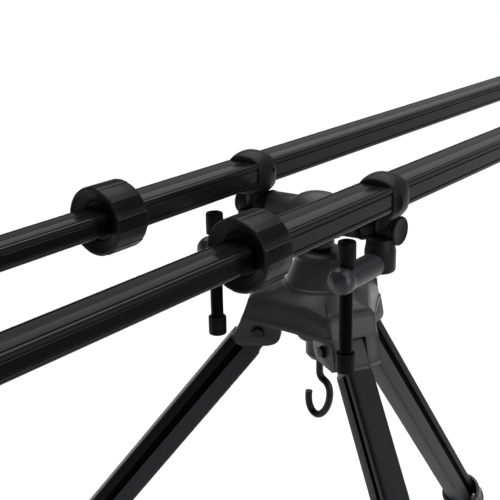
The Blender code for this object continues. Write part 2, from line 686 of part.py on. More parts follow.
def knuckle_mesh(frame):
    """Rounded tongue round the pivot, full section below, plug inside the tube."""
    a = LEG_D / 2
    heel = 12.5 * MM
    top = math.pi / 2 - LEG_TILT
    corner = (heel * math.cos(top) + 9 * MM * math.sin(top),
              heel * math.sin(top) - 9 * MM * math.cos(top))
    tongue = [(corner[0] + 0.6 * MM * math.sin(top), 0), corner]
    for i in range(8):
        t = top + (math.pi - top) * i / 7
        tongue.append((a * math.cos(t), a * math.sin(t)))
    tongue += [(-a, KNUCKLE_LOW), (a, KNUCKLE_LOW)]
    upright = Matrix(((1, 0, 0, 0), (0, 0, -1, 0), (0, 1, 0, 0), (0, 0, 0, 1)))
    body = prism([tongue], LEG_T - 0.2 * MM, upright)
    plug = prism([rounded_rect(INNER_D + 0.2 * MM, INNER_T + 0.2 * MM, 2 * MM, 2)], 22 * MM,
                 Matrix.Translation((0, 0, KNUCKLE_LOW - 9 * MM)))
    bore = turned([(0, 12 * MM), (3.3 * MM, 12 * MM), (3.3 * MM, -12 * MM), (0, -12 * MM)], 16,
                  along_y(0, 0, 0))
    body = combine(body, [plug], "UNION")
    body = combine(body, [bore], "DIFFERENCE")
    body.transform(frame)
    return body


for leg, degrees in LEGS.items():
    frame = leg_matrix(degrees)
    turn = Matrix.Rotation(math.radians(degrees), 4, "Z")
    finish(f"leg_knuckle_{leg}", knuckle_mesh(frame), MOULDED)

    # pivot bolt: hexagon head, plain shank and a domed nut on the far ear
    head = turned([(0, 3 * MM), (4.6 * MM, 3 * MM), (5.2 * MM, 2.6 * MM), (5.2 * MM, 0), (0, 0)], 6,
                  along_y(0, EAR_HALF + GAP, 0))
    shank = turned([(0, EAR_HALF + 2 * MM), (3 * MM, EAR_HALF + 2 * MM), (3 * MM, -EAR_HALF - 2 * MM),
                    (0, -EAR_HALF - 2 * MM)], 16, along_y(0, 0, 0))
    nut = turned([(0, 3 * MM), (4.6 * MM, 3 * MM), (5.2 * MM, 2.6 * MM), (5.2 * MM, 0), (0, 0)], 6,
                 along_y(0, -EAR_HALF - GAP, 0, -1))
    bolt = combine(shank, [head, nut], "UNION")
    bolt.transform(turn @ Matrix.Translation((PIVOT_R, 0, PIVOT_Z)))
    finish(f"leg_pivot_bolt_{leg}", bolt, STEEL)

    hollow = rounded_rect(INNER_D + 0.8 * MM, INNER_T + 0.8 * MM, 1.2 * MM, 1)
    tube_top = KNUCKLE_LOW - GAP
    tube = prism([leg_outline(), hollow], tube_top - TUBE_LOW,
                 frame @ Matrix.Translation((0, 0, (tube_top + TUBE_LOW) / 2)))
    finish(f"leg_outer_tube_{leg}", tube, ANODISED)

    lock = turned([(16.2 * MM, LOCK_TOP), (18.6 * MM, LOCK_TOP), (19.4 * MM, LOCK_TOP - 0.8 * MM),
                   (19.4 * MM, LOCK_LOW + 2 * MM), (17.4 * MM, LOCK_LOW), (11.8 * MM, LOCK_LOW),
                   (11.8 * MM, TUBE_LOW - 2 * MM), (16.2 * MM, TUBE_LOW - 2 * MM)], 18, frame)
    finish(f"leg_lock_{leg}", lock, MOULDED)

    inner = prism([rounded_rect(INNER_D, INNER_T, 2.4 * MM)], INNER_TOP - INNER_LOW,
                  frame @ Matrix.Translation((0, 0, (INNER_TOP + INNER_LOW) / 2)))
    finish(f"leg_inner_tube_{leg}", inner, ANODISED)

    # rubber foot, cut flat where it stands on the ground
    foot_low = -LEG_REACH - 16 * MM
    foot = turned([(0, INNER_LOW + 18 * MM), (12.6 * MM, INNER_LOW + 18 * MM),
                   (13 * MM, INNER_LOW + 17 * MM), (13 * MM, INNER_LOW - 4 * MM),
                   (11.5 * MM, foot_low + 4 * MM), (9 * MM, foot_low), (0, foot_low)], 18, frame)
    socket = prism([rounded_rect(INNER_D + 2 * GAP, INNER_T + 2 * GAP, 2.4 * MM)], 60 * MM,
                   frame @ Matrix.Translation((0, 0, INNER_LOW - GAP + 30 * MM)))
    reach = PIVOT_R + LEG_REACH * math.sin(LEG_TILT)
    ground = box(reach * math.cos(math.radians(degrees)), reach * math.sin(math.radians(degrees)),
                 -30 * MM, 120 * MM, 120 * MM, 60 * MM, 0)
    finish(f"leg_foot_{leg}", combine(foot, [socket, ground], "DIFFERENCE"), RUBBER)
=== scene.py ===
import json
import math

import bmesh
import bpy
from mathutils import Matrix, Vector


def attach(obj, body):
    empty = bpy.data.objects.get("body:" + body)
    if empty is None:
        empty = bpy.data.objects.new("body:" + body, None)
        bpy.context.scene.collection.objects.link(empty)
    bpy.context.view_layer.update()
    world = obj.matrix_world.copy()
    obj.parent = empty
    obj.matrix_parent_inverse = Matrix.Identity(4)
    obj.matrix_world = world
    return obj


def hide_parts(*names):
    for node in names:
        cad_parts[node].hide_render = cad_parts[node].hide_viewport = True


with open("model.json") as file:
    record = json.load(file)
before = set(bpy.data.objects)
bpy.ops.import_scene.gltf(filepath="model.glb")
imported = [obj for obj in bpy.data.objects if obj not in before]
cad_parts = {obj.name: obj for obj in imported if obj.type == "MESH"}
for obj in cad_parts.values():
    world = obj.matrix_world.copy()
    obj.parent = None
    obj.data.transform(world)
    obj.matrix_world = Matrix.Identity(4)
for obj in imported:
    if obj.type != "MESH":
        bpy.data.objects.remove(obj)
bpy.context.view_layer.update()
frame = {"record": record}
MM = 0.001
scene = bpy.context.scene

# Studio: a pale paper floor under a wide overhead silk and two soft panels, as a black product
# is shot on white. The camera stands off the front end of the right-hand rail, above it.

PIVOT_Z = 410 * MM
RAIL_Z = PIVOT_Z + 125 * MM

CAMERA_AT = Vector((-649.3 * MM, -442.7 * MM, RAIL_Z + 209.2 * MM))
CAMERA_PITCH = math.radians(18.73)
CAMERA_YAW = math.radians(54.87)
FOCAL_PX = 1026.94
CENTRE_PX = (305.89, 247.78)
PHOTO_PX = 500
SENSOR_MM = 36
FLOOR_SIZE = 20

camera_data = bpy.data.cameras.new("camera")
camera = bpy.data.objects.new("camera", camera_data)
scene.collection.objects.link(camera)
scene.camera = camera
heading = Vector((math.sin(CAMERA_YAW), math.cos(CAMERA_YAW), 0))
forward = heading * math.cos(CAMERA_PITCH) - Vector((0, 0, math.sin(CAMERA_PITCH)))
right = Vector((math.cos(CAMERA_YAW), -math.sin(CAMERA_YAW), 0))
up = right.cross(forward)
turned_to_view = Matrix((right, up, -forward)).transposed().to_4x4()
camera.matrix_world = Matrix.Translation(CAMERA_AT) @ turned_to_view
camera_data.sensor_width = SENSOR_MM
camera_data.lens = FOCAL_PX * SENSOR_MM / PHOTO_PX
camera_data.shift_x = (PHOTO_PX / 2 - CENTRE_PX[0]) / PHOTO_PX
camera_data.shift_y = (CENTRE_PX[1] - PHOTO_PX / 2) / PHOTO_PX
camera_data.clip_start = 0.01
camera_data.clip_end = 100


def linear(hex_code):
    """Scene-linear colour of an sRGB hex code."""
    channels = [int(hex_code[i:i + 2], 16) / 255 for i in (1, 3, 5)]
    return tuple(c / 12.92 if c <= 0.04045 else ((c + 0.055) / 1.055) ** 2.4
                 for c in channels) + (1,)


def add_node(tree, kind, settings=None, links=None):
    """A shader node with its settings, and its inputs set from values or linked from sockets."""
    node = tree.nodes.new(kind)
    for key, value in (settings or {}).items():
        setattr(node, key, value)
    for key, value in (links or {}).items():
        if isinstance(value, bpy.types.NodeSocket):
            tree.links.new(value, node.inputs[key])
        else:
            node.inputs[key].default_value = value
    return node


def new_material(name, **sockets):
    """A material with a Principled shader whose plain sockets are set from keywords."""
    material = bpy.data.materials.new(name)
    material.use_nodes = True
    shader = material.node_tree.nodes["Principled BSDF"]
    for key, value in sockets.items():
        shader.inputs[key.replace("_", " ")].default_value = value
    return material, material.node_tree, shader


# Matt white background paper with a faint mottle. Outside the picture it is painted grey, as
# painted shade past the edge of the lit sheet, and that keeps the undersides of the black tubes dark.
floor_paper, tree, shader = new_material("matt_white_background_paper", Base_Color=linear("#f6f6f5"),
                                         Roughness=0.9, Specular_IOR_Level=0.1)
place = add_node(tree, "ShaderNodeNewGeometry")
fibre = add_node(tree, "ShaderNodeTexNoise", {},
                 {"Vector": place.outputs["Position"], "Scale": 1 / (166.7 * MM), "Detail": 3})
tone = add_node(tree, "ShaderNodeMix", {"data_type": "RGBA"},
                {0: fibre.outputs["Fac"], 6: linear("#f4f4f3"), 7: linear("#fafaf9")})
falloffs = []
for across, start, stop in (((0.05, 1, 0), -0.9, -0.1), ((0.818, 0.575, 0), -0.6, 0.2)):
    reach = add_node(tree, "ShaderNodeVectorMath", {"operation": "DOT_PRODUCT"},
                     {0: place.outputs["Position"], 1: across})
    falloff = add_node(tree, "ShaderNodeMapRange", {"interpolation_type": "SMOOTHSTEP"},
                       {"Value": reach.outputs["Value"], "From Min": start, "From Max": stop,
                        "To Min": 1, "To Max": 0})
    falloffs.append(falloff.outputs["Result"])
# Painted shade: the paper turns grey toward the camera's side and the right-hand side, outside the
# picture.
painted_floor_shade = add_node(tree, "ShaderNodeMath", {"operation": "MAXIMUM"},
                  {0: falloffs[0], 1: falloffs[1]})
paper = add_node(tree, "ShaderNodeMix", {"data_type": "RGBA"},
                 {0: painted_floor_shade.outputs["Value"], 6: tone.outputs[2], 7: linear("#a8a8a8")})
tree.links.new(paper.outputs[2], shader.inputs["Base Color"])

floor_mesh = bpy.data.meshes.new("floor")
sheet = bmesh.new()
bmesh.ops.create_grid(sheet, x_segments=8, y_segments=8, size=FLOOR_SIZE)
sheet.to_mesh(floor_mesh)
sheet.free()
floor_mesh.materials.append(floor_paper)
floor = bpy.data.objects.new("floor", floor_mesh)
scene.collection.objects.link(floor)


def soft_panel(name, at, aim, width, height, power):
    """A rectangular soft light at a point, turned toward another point."""
    data = bpy.data.lights.new(name, "AREA")
    data.shape = "RECTANGLE"
    data.size = width
    data.size_y = height
    data.energy = power
    lamp = bpy.data.objects.new(name, data)
    lamp.location = at
    lamp.rotation_euler = (Vector(aim) - Vector(at)).to_track_quat("-Z", "Y").to_euler()
    scene.collection.objects.link(lamp)


overhead = bpy.data.lights.new("overhead_silk", "SUN")
overhead.energy = 3.1
overhead.angle = math.radians(75)
overhead_silk = bpy.data.objects.new("overhead_silk", overhead)
overhead_silk.rotation_euler = (math.radians(-8), math.radians(10), 0)
scene.collection.objects.link(overhead_silk)
soft_panel("right_panel", (0.3, -2.2, 2.5), (0, -0.1, 0.45), 1.4, 1.4, 14)
soft_panel("low_right_panel", (-0.3, -2.0, 0.85), (0, 0, 0.45), 1.2, 0.7, 14)

# The room is dim behind the camera and brighter over the far end of the rails.
world = bpy.data.worlds.new("studio")
scene.world = world
world.use_nodes = True
backdrop = world.node_tree.nodes["Background"]
direction = add_node(world.node_tree, "ShaderNodeTexCoord")
facing = add_node(world.node_tree, "ShaderNodeVectorMath", {"operation": "DOT_PRODUCT"},
                  {0: direction.outputs["Generated"], 1: (0.77, 0.57, 0.28)})
level = add_node(world.node_tree, "ShaderNodeMapRange", {},
                 {"Value": facing.outputs["Value"], "From Min": -0.2, "From Max": 0.9,
                  "To Min": 0.03, "To Max": 0.3})
world.node_tree.links.new(level.outputs["Result"], backdrop.inputs["Color"])
scene.view_settings.view_transform = "Standard"

# Telescopic rails: flat oval-cornered tube extruded from aluminium with a fine
# groove on both sides of each corner bead, satin anodised black. The inner rail
# slides in the outer one.

RAIL_SPACING = 124.6 * MM
OUTER_RAIL = (30 * MM, 18.7 * MM)
OUTER_Z = RAIL_Z - 0.35 * MM
OUTER_GROOVES = (3.3 * MM, 4.1 * MM)
INNER_RAIL = (24.2 * MM, 15.2 * MM)
INNER_GROOVES = (2.8 * MM, 3.6 * MM)
RAIL_END_X = 593 * MM
INNER_TAIL_X = 130 * MM
MOUTH_X = -164 * MM
SIDES = {"left": 1, "right": -1}
RAIL_Y = {side: sign * RAIL_SPACING / 2 for side, sign in SIDES.items()}
body_of_node = {node: body for body, nodes in frame["record"]["behaviour"]["bodies"].items()
                for node in nodes}
tools = bpy.data.collections.new("tools")
scene.collection.children.link(tools)


def settled(work, mesh):
    """Write finished faces to a mesh, all turned outward."""
    bmesh.ops.recalc_face_normals(work, faces=work.faces)
    work.to_mesh(mesh)
    work.free()
    return mesh


def evaluated(obj):
    """Clean mesh of an object with its modifiers or curve fill applied. The object goes."""
    tools.objects.link(obj)
    graph = bpy.context.evaluated_depsgraph_get()
    graph.update()
    mesh = bpy.data.meshes.new_from_object(obj.evaluated_get(graph))
    bpy.data.objects.remove(obj, do_unlink=True)
    work = bmesh.new()
    work.from_mesh(mesh)
    bmesh.ops.remove_doubles(work, verts=work.verts, dist=1e-6)
    return settled(work, mesh)


def moved(x, y, z):
    """Matrix that moves a form from the origin to a point."""
    return Matrix.Translation((x, y, z))


def extruded(outlines, depth, matrix):
    """Flat closed outlines, the first less the others, drawn out by depth about their own plane."""
    curve = bpy.data.curves.new("outline", "CURVE")
    curve.dimensions = "2D"
    curve.fill_mode = "BOTH"
    curve.extrude = depth / 2
    for points in outlines:
        spline = curve.splines.new("POLY")
        spline.points.add(len(points) - 1)
        for point, (x, y) in zip(spline.points, points):
            point.co = (x, y, 0, 1)
        spline.use_cyclic_u = True
    mesh = evaluated(bpy.data.objects.new("outline", curve))
    mesh.transform(matrix)
    return mesh


def along_x(x, y=0.0, z=0.0):
    """Local Z to world X, local X to world Y, local Y to world Z."""
    turn = Matrix(((0, 0, 1), (1, 0, 0), (0, 1, 0))).to_4x4()
    return moved(x, y, z) @ turn


def dress(node, mesh, finish, angle=40, more=(), bands=None):
    """Show mesh in place of a CAD node, on that node's body. Bands give each face its finish."""
    mesh.name = f"{node}_form"
    mesh.polygons.foreach_set("use_smooth", [True] * len(mesh.polygons))
    mesh.set_sharp_from_angle(angle=math.radians(angle))
    mesh.materials.clear()
    for material in (finish, *more):
        mesh.materials.append(material)
    if bands:
        mesh.polygons.foreach_set("material_index", bands)
    piece = bpy.data.objects.new(f"{node}_finished", mesh)
    scene.collection.objects.link(piece)
    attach(piece, body_of_node[node])
    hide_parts(node)


def mirrored_quarter(quarter):
    """Closed outline from its first quarter, listed from the x axis to the y axis."""
    upper = quarter + [(-x, y) for x, y in reversed(quarter)]
    return upper + [(-x, -y) for x, y in upper]


def corner(a, b, r, steps):
    """Quarter arc that rounds the corner (a, b) of an outline, from its x side to its y side."""
    angles = [math.radians(90 * i / steps) for i in range(steps + 1)]
    return [(a - r + r * math.cos(t), b - r + r * math.sin(t)) for t in angles]


def rounded_rect(width, height, radius, steps=4):
    """Closed outline of a rectangle with rounded corners."""
    return mirrored_quarter(corner(width / 2, height / 2, radius, steps))


def rail_outline(size, grooves, gap=0.0):
    """Section with corner beads: grooves 1.3 mm wide and 1 mm deep beside every bead."""
    a = size[0] / 2 + gap
    b = size[1] / 2 + gap
    top_groove, side_groove = (offset + gap for offset in grooves)
    half = 0.65 * MM
    deep = 1 * MM
    lip = 0.25 * MM
    groove = [(-half - lip, 0), (-half, lip), (-half * 0.5, deep), (half * 0.5, deep),
              (half, lip), (half + lip, 0)]
    quarter = [(a - d, b - side_groove + s) for s, d in groove]
    quarter += corner(a, b, 1.5 * MM, 8)
    quarter += [(a - top_groove - s, b - d) for s, d in groove]
    quarter += [(1.4 * MM, b), (0.7 * MM, b - 0.22 * MM)]
    return mirrored_quarter(quarter)


def varied(tree, shader, base, sheen, tone, relief):
    """Vary a finish by textures: its roughness, its colour toward a brighter one, its relief."""
    texture, start, stop, shine_low, shine_high = sheen
    roughness = add_node(tree, "ShaderNodeMapRange", {},
                         {"Value": texture, "From Min": start, "From Max": stop,
                          "To Min": shine_low, "To Max": shine_high})
    tree.links.new(roughness.outputs["Result"], shader.inputs["Roughness"])
    texture, gain = tone
    bright = tuple(c * gain for c in linear(base)[:3]) + (1,)
    shade = add_node(tree, "ShaderNodeMix", {"data_type": "RGBA"},
                     {0: texture, 6: linear(base), 7: bright})
    tree.links.new(shade.outputs[2], shader.inputs["Base Color"])
    texture, strength, depth = relief
    bump = add_node(tree, "ShaderNodeBump", {},
                    {"Strength": strength, "Distance": depth, "Height": texture})
    tree.links.new(bump.outputs["Normal"], shader.inputs["Normal"])


# Black anodised aluminium: a dyed oxide skin over drawn metal, even and satin, with faint die
# lines along the tube and a soft metallic sheen at low angles. The lines are drawn 1.1 mm
# apart, coarser than real ones, so that they show. ALONG_X draws them out along the rails.
def anodised(name, base, shine, lines_along, metal=0.5, gloss=0.3):
    material, tree, shader = new_material(name, Base_Color=linear(base), Metallic=metal,
                                          Roughness=shine, Specular_IOR_Level=gloss)
    place = add_node(tree, "ShaderNodeTexCoord")
    stretch = add_node(tree, "ShaderNodeMapping", {},
                       {"Vector": place.outputs["Object"], "Scale": lines_along})
    lines = add_node(tree, "ShaderNodeTexNoise", {},
                     {"Vector": stretch.outputs["Vector"], "Scale": 1 / (1.1111 * MM), "Detail": 2})
    cloud = add_node(tree, "ShaderNodeTexNoise", {},
                     {"Vector": place.outputs["Object"], "Scale": 1 / (28.571 * MM), "Detail": 3})
    both = add_node(tree, "ShaderNodeMath", {"operation": "MULTIPLY_ADD"},
                    {0: cloud.outputs["Fac"], 1: 0.5, 2: lines.outputs["Fac"]})
    varied(tree, shader, base, (both.outputs["Value"], 0.45, 1.05, shine - 0.03, shine + 0.04),
           (both.outputs["Value"], 1.25), (lines.outputs["Fac"], 0.12, 0.02 * MM))
    return material


ALONG_X = (0.02, 1, 1)
rail_anodising = anodised("satin_black_anodised_tube", "#202021", 0.18, ALONG_X)
# The sliding tubes take a deeper dye and a glossier top. Their flat flanks are painted nearly black,
# as painted shade along the sides.
sliding_anodising = anodised("deep_black_anodised_sliding_tube", "#1a1a1b", 0.17, ALONG_X,
                             0.35, 0.24)
painted_shade_sliding_flank = anodised("near_black_anodised_sliding_flank", "#060607", 0.3, ALONG_X,
                         0.05, 0.06)


def is_flank(face):
    """Tell the flat flank between the two grooves on either side of a rail."""
    return abs(face.normal.y) > 0.98 and abs(face.center.z - RAIL_Z) < 1 * MM


for side, y0 in RAIL_Y.items():
    bore = rounded_rect(INNER_RAIL[0] + 0.6 * MM, INNER_RAIL[1] + 0.6 * MM, 1 * MM, 2)
    tube = extruded([rail_outline(OUTER_RAIL, OUTER_GROOVES), bore], RAIL_END_X - MOUTH_X,
                    along_x((RAIL_END_X + MOUTH_X) / 2, y0, OUTER_Z))
    dress(f"outer_rail_{side}", tube, rail_anodising, 25)
    bore = rounded_rect(INNER_RAIL[0] - 4 * MM, INNER_RAIL[1] - 4 * MM, 1.5 * MM, 2)
    tube = extruded([rail_outline(INNER_RAIL, INNER_GROOVES), bore], INNER_TAIL_X + RAIL_END_X,
                    along_x((INNER_TAIL_X - RAIL_END_X) / 2, y0, RAIL_Z))
    # The flat flanks of each sliding tube get the painted shade.
    flanks = [int(is_flank(face)) for face in tube.polygons]
    dress(f"inner_rail_{side}", tube, sliding_anodising, 25, (painted_shade_sliding_flank,), flanks)

# Twist collars: moulded nylon rings that screw over a split collet on the mouth of each
# outer rail and pinch it on the inner rail. The grip repeats four times round the ring.

COLLAR_FRONT_X = -184 * MM
COLLAR_REAR_X = -155.8 * MM
COLLAR_TURN = {"left": 105.9, "right": 99.6}
RIB_MM = 0.75


def ribs(start, end, count):
    """Angles in degrees and depths in millimetres of a run of straight ribs."""
    pitch = (end - start) / count
    run = []
    for k in range(count):
        for share, depth in ((0.04, RIB_MM), (0.46, RIB_MM), (0.56, 0), (0.94, 0)):
            run.append((start + (k + share) * pitch, depth))
    return run


def grip_quarter():
    """Pad, band, ribs, deep groove, flute, ridge, ribs and band: angle and depth below the rim."""
    pad = [(0.5, 0.45)] + [(a, 0.3) for a in range(3, 24, 3)] + [(23.8, 0.45), (24.6, 0.0)]
    flute = [(49.5, 0.0), (49.8, 1.3), (51.2, 1.3), (51.6, 0.75), (54, 0.7), (57, 0.65),
             (60, 0.5), (61, 0.0), (63.3, 0.0)]
    band = [(28, 0.0), (32.2, 0.0)]
    tail = [(86, 0.0), (89.6, 0.0)]
    return pad + band + ribs(32.7, 49.3, 6) + flute + ribs(63.6, 83.4, 7) + tail


def collar_form(y0, turn):
    """Ring of one closed section: radius in mm, distance behind the front, share of the grip."""
    length = (COLLAR_REAR_X - COLLAR_FRONT_X) / MM
    mouth = (MOUTH_X - COLLAR_FRONT_X) / MM - 3
    section = [(18.4, length, 0), (23.6, length, 1), (24.3, length - 0.2, 1), (24.7, length - 0.9, 1),
               (24.7, 14, 1), (24.7, 3.2, 1), (24.65, 2.2, 1), (24.4, 1.2, 0.8), (23.9, 0.5, 0.4),
               (23.2, 0.1, 0.1), (22.6, 0, 0), (22.0, 0.2, 0), (21.6, 0.7, 0),
               (19.4, 2.1, 0), (17.0, 3.2, 0), (15.2, 3.9, 0), (14.4, 4.4, 0), (14.1, 5.0, 0),
               (14.0, 6.0, 0), (14.0, mouth, 0), (18.0, mouth, 0), (18.0, length - 0.5, 0)]
    work = bmesh.new()
    rows = []
    depths = []
    for quarter in range(4):
        for degrees, depth in grip_quarter():
            a = math.radians(turn + 90 * quarter + degrees)
            depths.append(depth)
            row = []
            for r, x, share in section:
                r = (r - share * depth) * MM
                row.append(work.verts.new((COLLAR_FRONT_X + x * MM, y0 + r * math.cos(a),
                                           RAIL_Z + r * math.sin(a))))
            rows.append(row)
    lows = [depth == RIB_MM for depth in depths]
    for row, after, low, low_after in zip(rows, rows[1:] + rows[:1], lows, lows[1:] + lows[:1]):
        for i in range(len(section)):
            j = (i + 1) % len(section)
            face = work.faces.new((row[i], row[j], after[j], after[i]))
            # Faces on the floors between the ribs take the painted shade.
            face.material_index = int(low and low_after and section[i][2] == 1)
    return settled(work, bpy.data.meshes.new("collar"))


# Moulded glass-filled nylon: near black, satin where the tool was polished, with a fine
# spark-eroded grain that breaks up the highlight, drawn coarser than real so that it shows.
def moulded(name, base, shine, grain_mm, gloss):
    material, tree, shader = new_material(name, Base_Color=linear(base), Roughness=shine,
                                          Specular_IOR_Level=gloss)
    place = add_node(tree, "ShaderNodeTexCoord")
    grain = add_node(tree, "ShaderNodeTexNoise", {},
                     {"Vector": place.outputs["Object"], "Scale": 1 / (grain_mm * MM), "Detail": 2})
    patch = add_node(tree, "ShaderNodeTexNoise", {},
                     {"Vector": place.outputs["Object"], "Scale": 1 / (16.667 * MM), "Detail": 3})
    varied(tree, shader, base, (patch.outputs["Fac"], 0.3, 0.7, shine - 0.06, shine + 0.06),
           (grain.outputs["Fac"], 1.35), (grain.outputs["Fac"], 0.25, 0.02 * MM))
    return material


def turned(profile, steps, matrix=Matrix.Identity(4)):
    """Solid turned about local Z from (radius, height) pairs."""
    work = bmesh.new()
    verts = [work.verts.new((r, 0, z)) for r, z in profile]
    edges = [work.edges.new(pair) for pair in zip(verts, verts[1:])]
    if profile[0][0] > 0:
        edges.append(work.edges.new((verts[-1], verts[0])))
    bmesh.ops.spin(work, geom=verts + edges, cent=(0, 0, 0), axis=(0, 0, 1),
                   angle=math.tau, steps=steps)
    bmesh.ops.remove_doubles(work, verts=work.verts, dist=1e-6)
    bmesh.ops.dissolve_degenerate(work, edges=work.edges, dist=1e-7)
    mesh = settled(work, bpy.data.meshes.new("turned"))
    mesh.transform(matrix)
    return mesh


def combined(mesh, others, operation):
    """Boolean of a mesh with other meshes, one after the other."""
    for other in others:
        base = bpy.data.objects.new("base", mesh)
        tool = bpy.data.objects.new("tool", other)
        tools.objects.link(tool)
        cut = base.modifiers.new("cut", "BOOLEAN")
        cut.operation = operation
        cut.solver = "EXACT"
        cut.object = tool
        mesh = evaluated(base)
        bpy.data.objects.remove(tool, do_unlink=True)
    return mesh


COLLET_REAR_X = -157.6 * MM
COLLET_STEP_X = -166.6 * MM
RAIL_GAP = 0.25 * MM


def collet_form(y0):
    """Collet, drawn closed: a nose with a hollow cone front, and a ring round the rail's mouth."""
    nose_front = COLLAR_FRONT_X + 4.8 * MM
    body = turned([(0, COLLET_REAR_X), (17.7 * MM, COLLET_REAR_X), (17.7 * MM, COLLET_STEP_X),
                   (13.75 * MM, COLLET_STEP_X), (13.75 * MM, nose_front),
                   (6.5 * MM, nose_front + 0.9 * MM), (0, nose_front + 1.2 * MM)], 64,
                  along_x(0, y0, RAIL_Z))
    cuts = [extruded([rail_outline(INNER_RAIL, INNER_GROOVES, RAIL_GAP)], 60 * MM,
                     along_x(-170 * MM, y0, RAIL_Z)),
            extruded([rail_outline(OUTER_RAIL, OUTER_GROOVES, RAIL_GAP)], 40 * MM,
                     along_x(MOUTH_X - RAIL_GAP + 20 * MM, y0, OUTER_Z))]
    return combined(body, cuts, "DIFFERENCE")


collar_nylon = moulded("satin_black_moulded_nylon", "#161617", 0.44, 0.25, 0.18)
# Between the ribs the moulding keeps its rough tool skin, and its colour is painted near black as
# painted shade there, so the ribs stand out on black.
valley_painted_shade = moulded("painted_shade_rough_nylon_between_ribs", "#060606", 0.8, 0.25, 0.05)

for side, y0 in RAIL_Y.items():
    collar = collar_form(y0, COLLAR_TURN[side])
    valleys = [face.material_index for face in collar.polygons]
    dress(f"twist_collar_{side}", collar, collar_nylon, 30, (valley_painted_shade,), valleys)
    dress(f"mouth_collet_{side}", collet_form(y0), collar_nylon, 30)

# Rail clamps: a moulded ball round each rail, a stem down to a barrel that turns on the
# cross arm, and a drum-shaped lug that takes the locking screw.

BALL_X_MM = -7.9
BALL_R_MM = 18.9
BALL_Z = RAIL_Z - 2 * MM
ARM_Z = RAIL_Z - 29.5 * MM
ARM_R = 12.2 * MM
ARM_END_Y = {"left": 47.2 * MM, "right": 39.8 * MM}
WASHER_T = 3 * MM
GAP = 0.3 * MM
BARREL_R = 11.6 * MM
BARREL_END_Y = {"left": 76.4 * MM, "right": 71.6 * MM}
SHAFT_R = 7 * MM
SCREW_Z = RAIL_Z - 53 * MM
LUG_X = -10 * MM
SEAT_X = LUG_X - 9 * MM


def along_y(x, y=0.0, z=0.0, sign=1):
    """Local Z to world Y times sign, local X to world Z, local Y to world X times sign."""
    turn = Matrix(((0, sign, 0), (0, 0, sign), (1, 0, 0))).to_4x4()
    return moved(x, y, z) @ turn


def softened(mesh, width, angle=30, segments=2):
    """Mesh with its edges sharper than angle rounded off by width."""
    obj = bpy.data.objects.new("edges", mesh)
    bevel = obj.modifiers.new("edges", "BEVEL")
    bevel.width = width
    bevel.segments = segments
    bevel.limit_method = "ANGLE"
    bevel.angle_limit = math.radians(angle)
    bevel.miter_outer = "MITER_ARC"
    return evaluated(obj)


def loft(rings):
    """Solid skinned through rings of equal point count, closed by flat caps."""
    work = bmesh.new()
    rows = [[work.verts.new(point) for point in ring] for ring in rings]
    count = len(rows[0])
    for upper, lower in zip(rows, rows[1:]):
        for i in range(count):
            j = (i + 1) % count
            work.faces.new((upper[i], lower[i], lower[j], upper[j]))
    work.faces.new(rows[0])
    work.faces.new(list(reversed(rows[-1])))
    return settled(work, bpy.data.meshes.new("loft"))


def mm(points, base=0.0):
    """Points given in millimetres, their second value counted from base."""
    return [(r * MM, base + z * MM) for r, z in points]


def rod(radius, top, low, steps, matrix=Matrix.Identity(4)):
    """Plain round bar along local Z, from top to low."""
    return turned([(0, top), (radius, top), (radius, low), (0, low)], steps, matrix)


def clamp_ball(y):
    """Ball cut square at both ends, squarer in section toward them. Lengths in millimetres."""
    front = -19.4
    rear = 3.0
    core = 7
    bulge = 12
    rings = []
    stations = [(front, 1.0), (front + 0.15, 0.55), (front + 0.5, 0.15), (front + 1.0, 0.0)]
    stations += [(front + 1.0 + (rear - front - 2) * i / 22, 0.0) for i in range(1, 23)]
    stations += [(rear - 0.5, 0.15), (rear - 0.15, 0.55), (rear, 1.0)]
    for x, trim in stations:
        off = (x - BALL_X_MM) / BALL_R_MM
        swell = math.sqrt(1 - off * off)
        tall = BALL_R_MM * swell - trim
        wide = core + bulge * swell - trim
        power = 2.2 + 1.7 * off * off
        ring = []
        for i in range(80):
            a = math.tau * i / 80
            c = math.cos(a)
            s = math.sin(a)
            k = (abs(c) ** power + abs(s) ** power) ** (-1 / power)
            ring.append((x * MM, y + wide * k * c * MM, BALL_Z + tall * k * s * MM))
        rings.append(ring)
    return loft(rings)


